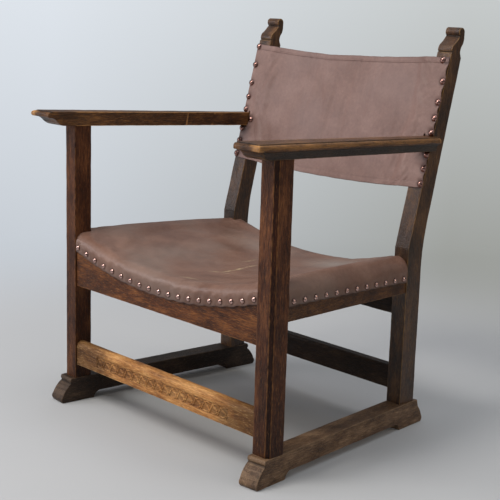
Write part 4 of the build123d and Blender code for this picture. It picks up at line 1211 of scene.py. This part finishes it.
def wovenJute(name, look):
    # plain weave: warp and weft cross at the thread spacing, drawn on the piece's own UV map in metres
    material, tree, shader = newMaterial(name)
    where = addNode(tree, "UVMap").outputs[0]
    fuzz = addNode(tree, "TexNoise", {0: where, "Scale": 900, "Detail": 4, "Roughness": 0.7})
    threads = []
    for turn in ((1, 0, 0), (0, 1, 0)):
        place = addNode(tree, "VectorMath", {0: where, 1: turn}, operation="DOT_PRODUCT").outputs["Value"]
        wave = addNode(tree, "Math", {0: place, 1: 2 * math.pi / look["thread"]}, operation="MULTIPLY")
        threads.append(addNode(tree, "Math", {0: wave}, operation="SINE"))
    weave = addNode(tree, "Math", {0: threads[0], 1: threads[1]}, operation="MULTIPLY")
    level = addNode(tree, "Math", {0: weave, 1: 0.32, 2: fuzz}, operation="MULTIPLY_ADD")
    colour = addNode(
        tree, "ValToRGB", {"Fac": level},
        stops=[(0.15, look["dark"]), (0.5, look["middle"]), (0.85, look["light"])],
    )
    stripes = []
    if "stripe" in look:
        place, tint = look["stripe"]
        split = addNode(tree, "SeparateXYZ", {0: where})
        away = addNode(tree, "Math", {0: split.outputs[1]}, operation="ABSOLUTE")
        away = addNode(tree, "Math", {0: away, 1: place, 2: 0.0018}, operation="COMPARE")
        stripes.append((away, tint))
    bump = addNode(tree, "Bump", {"Height": level, "Strength": 0.8, "Distance": 0.0006})
    shade = layColours(tree, colour, stripes)
    setInputs(tree, shader, {"Base Color": shade, "Roughness": 0.9, "Normal": bump})
    return material


# yarns stand about 1.6 mm apart in webbing and 1.3 mm in hessian, drawn at 2.4 and 2 mm to show
juteStrip = wovenJute("wovenJuteWebbing", {
    "thread": 0.0024, "dark": "#5e4a2e", "middle": "#8f754c", "light": "#b59a6b",
    "stripe": (0.019, "#5b3a26"),
})
hessian = wovenJute("openHessian", {
    "thread": 0.002, "dark": "#6b573a", "middle": "#a08a62", "light": "#c4ad82",
})
webbing = {
    "dish": 0.316, "slope": 0.018, "radius": 1.0, "width": 0.05, "thick": 0.0014, "wave": 0.0016,
    "pitch": 0.09, "longEnds": (-0.242, 0.2025), "count": 5,
    "crossCount": 4, "lap": 0.015, "longLength": 0.4445, "crossLength": 0.62,
    "railTop": (0.352, 0.343), "railInner": (0.2972, 0.2562),
    "railFront": -0.2214, "railRear": 0.1817, "above": 0.001, "crossing": 0.03,
}
longMiddles = [(index - 2) * webbing["pitch"] for index in range(webbing["count"])]
crossPitch = railRun["length"] / webbing["crossCount"]
crossMiddles = [railRun["front"] + (index + 0.5) * crossPitch for index in range(webbing["crossCount"])]


def dishZ(x, y):
    return hollowHeight(x, y, webbing["dish"], webbing["slope"], webbing["radius"])


def overUnder(place, middles, sign):
    # over one strip and under the next
    nearest = min(range(len(middles)), key=lambda index: abs(place - middles[index]))
    parity = 1 if nearest % 2 == 0 else -1
    return sign * parity * math.exp(-((place - middles[nearest]) / webbing["crossing"]) ** 4)


def strip(bm, uvLayer, length, width, shape):
    made = bmesh.ops.create_grid(bm, x_segments=110, y_segments=8, size=0.5)
    verts = made["verts"]
    for face in {f for v in verts for f in v.link_faces}:
        for loop in face.loops:
            loop[uvLayer].uv = (loop.vert.co.x * length, loop.vert.co.y * width)
    for vert in verts:
        vert.co = shape(vert.co.x + 0.5, vert.co.y * width)


def makeStrips(name, nodeName, middles, length, shape):
    bm = bmesh.new()
    uvLayer = bm.loops.layers.uv.new("UVMap")
    for index, middle in enumerate(middles):
        strip(bm, uvLayer, length, webbing["width"], lambda t, w: shape(index, middle, t, w))
    bmesh.ops.recalc_face_normals(bm, faces=bm.faces[:])
    piece = newPiece(name, bm, [juteStrip], 50, (nodeName,))
    thicken(piece, webbing["thick"], 0)


def longPoint(index, middle, t, w):
    x = middle + w
    y = between(*webbing["longEnds"], t)
    free = smoothStep(webbing["railFront"], webbing["railFront"] + 0.03, y)
    free *= smoothStep(webbing["railRear"], webbing["railRear"] - 0.03, y)
    swing = overUnder(y, crossMiddles, 1 if index % 2 == 0 else -1) * free
    return Vector((x, y, dishZ(x, y) + webbing["above"] + webbing["wave"] * (swing - 0.55 * free)))


def crossPoint(index, middle, t, w):
    y = middle + w
    share = seatShare(y)
    inner = between(*webbing["railInner"], share)
    top = between(*webbing["railTop"], share) + webbing["above"]
    x = between(-inner - webbing["lap"], inner + webbing["lap"], t)
    swing = overUnder(x, longMiddles, -1 if index % 2 == 0 else 1) * smoothStep(0.235, 0.215, abs(x))
    hang = dishZ(x, y) + webbing["above"] + webbing["wave"] * (swing - 0.55)
    # the strip leaves the dish near the rail and lies on the rail's top
    lean = smoothStep(inner - 0.075, inner, abs(x))
    return Vector((x, y, between(min(hang, top), top, lean)))


makeStrips("longWebbing", "webbing_front_to_rear", longMiddles, webbing["longLength"], longPoint)
makeStrips("crossWebbing", "webbing_side_to_side", crossMiddles, webbing["crossLength"], crossPoint)


baseCloth = {
    "ends": (-0.2395, 0.2), "railInner": (0.2962, 0.2552), "lap": 0.009,
    "postBack": -0.2075, "betweenPosts": 0.2796, "stileFront": 0.175, "betweenStiles": 0.2425,
    "weave": (0.58, 0.44), "above": 0.0033, "slack": 0.0003, "thick": 0.0009,
}


def makeBaseCloth():
    wide, deep = baseCloth["weave"]
    bm = bmesh.new()
    uvLayer = bm.loops.layers.uv.new("UVMap")
    bmesh.ops.create_grid(bm, x_segments=90, y_segments=66, size=0.5)
    for face in bm.faces:
        for loop in face.loops:
            loop[uvLayer].uv = (loop.vert.co.x * wide, loop.vert.co.y * deep)
    for vert in bm.verts:
        y = between(*baseCloth["ends"], vert.co.y + 0.5)
        half = between(*baseCloth["railInner"], seatShare(y)) + baseCloth["lap"]
        if y < baseCloth["postBack"]:
            half = baseCloth["betweenPosts"]
        elif y > baseCloth["stileFront"]:
            half = baseCloth["betweenStiles"]
        x = vert.co.x * 2 * half
        slack = baseCloth["slack"] * noise.noise(Vector((x * 30, y * 30, 4)))
        vert.co = Vector((x, y, dishZ(x, y) + baseCloth["above"] + slack))
    bmesh.ops.recalc_face_normals(bm, faces=bm.faces[:])
    piece = newPiece("baseCloth", bm, [hessian], 50, ("seat_base_cloth",))
    thicken(piece, baseCloth["thick"], 0)


makeBaseCloth()
print("stage: webbing and base cloth")
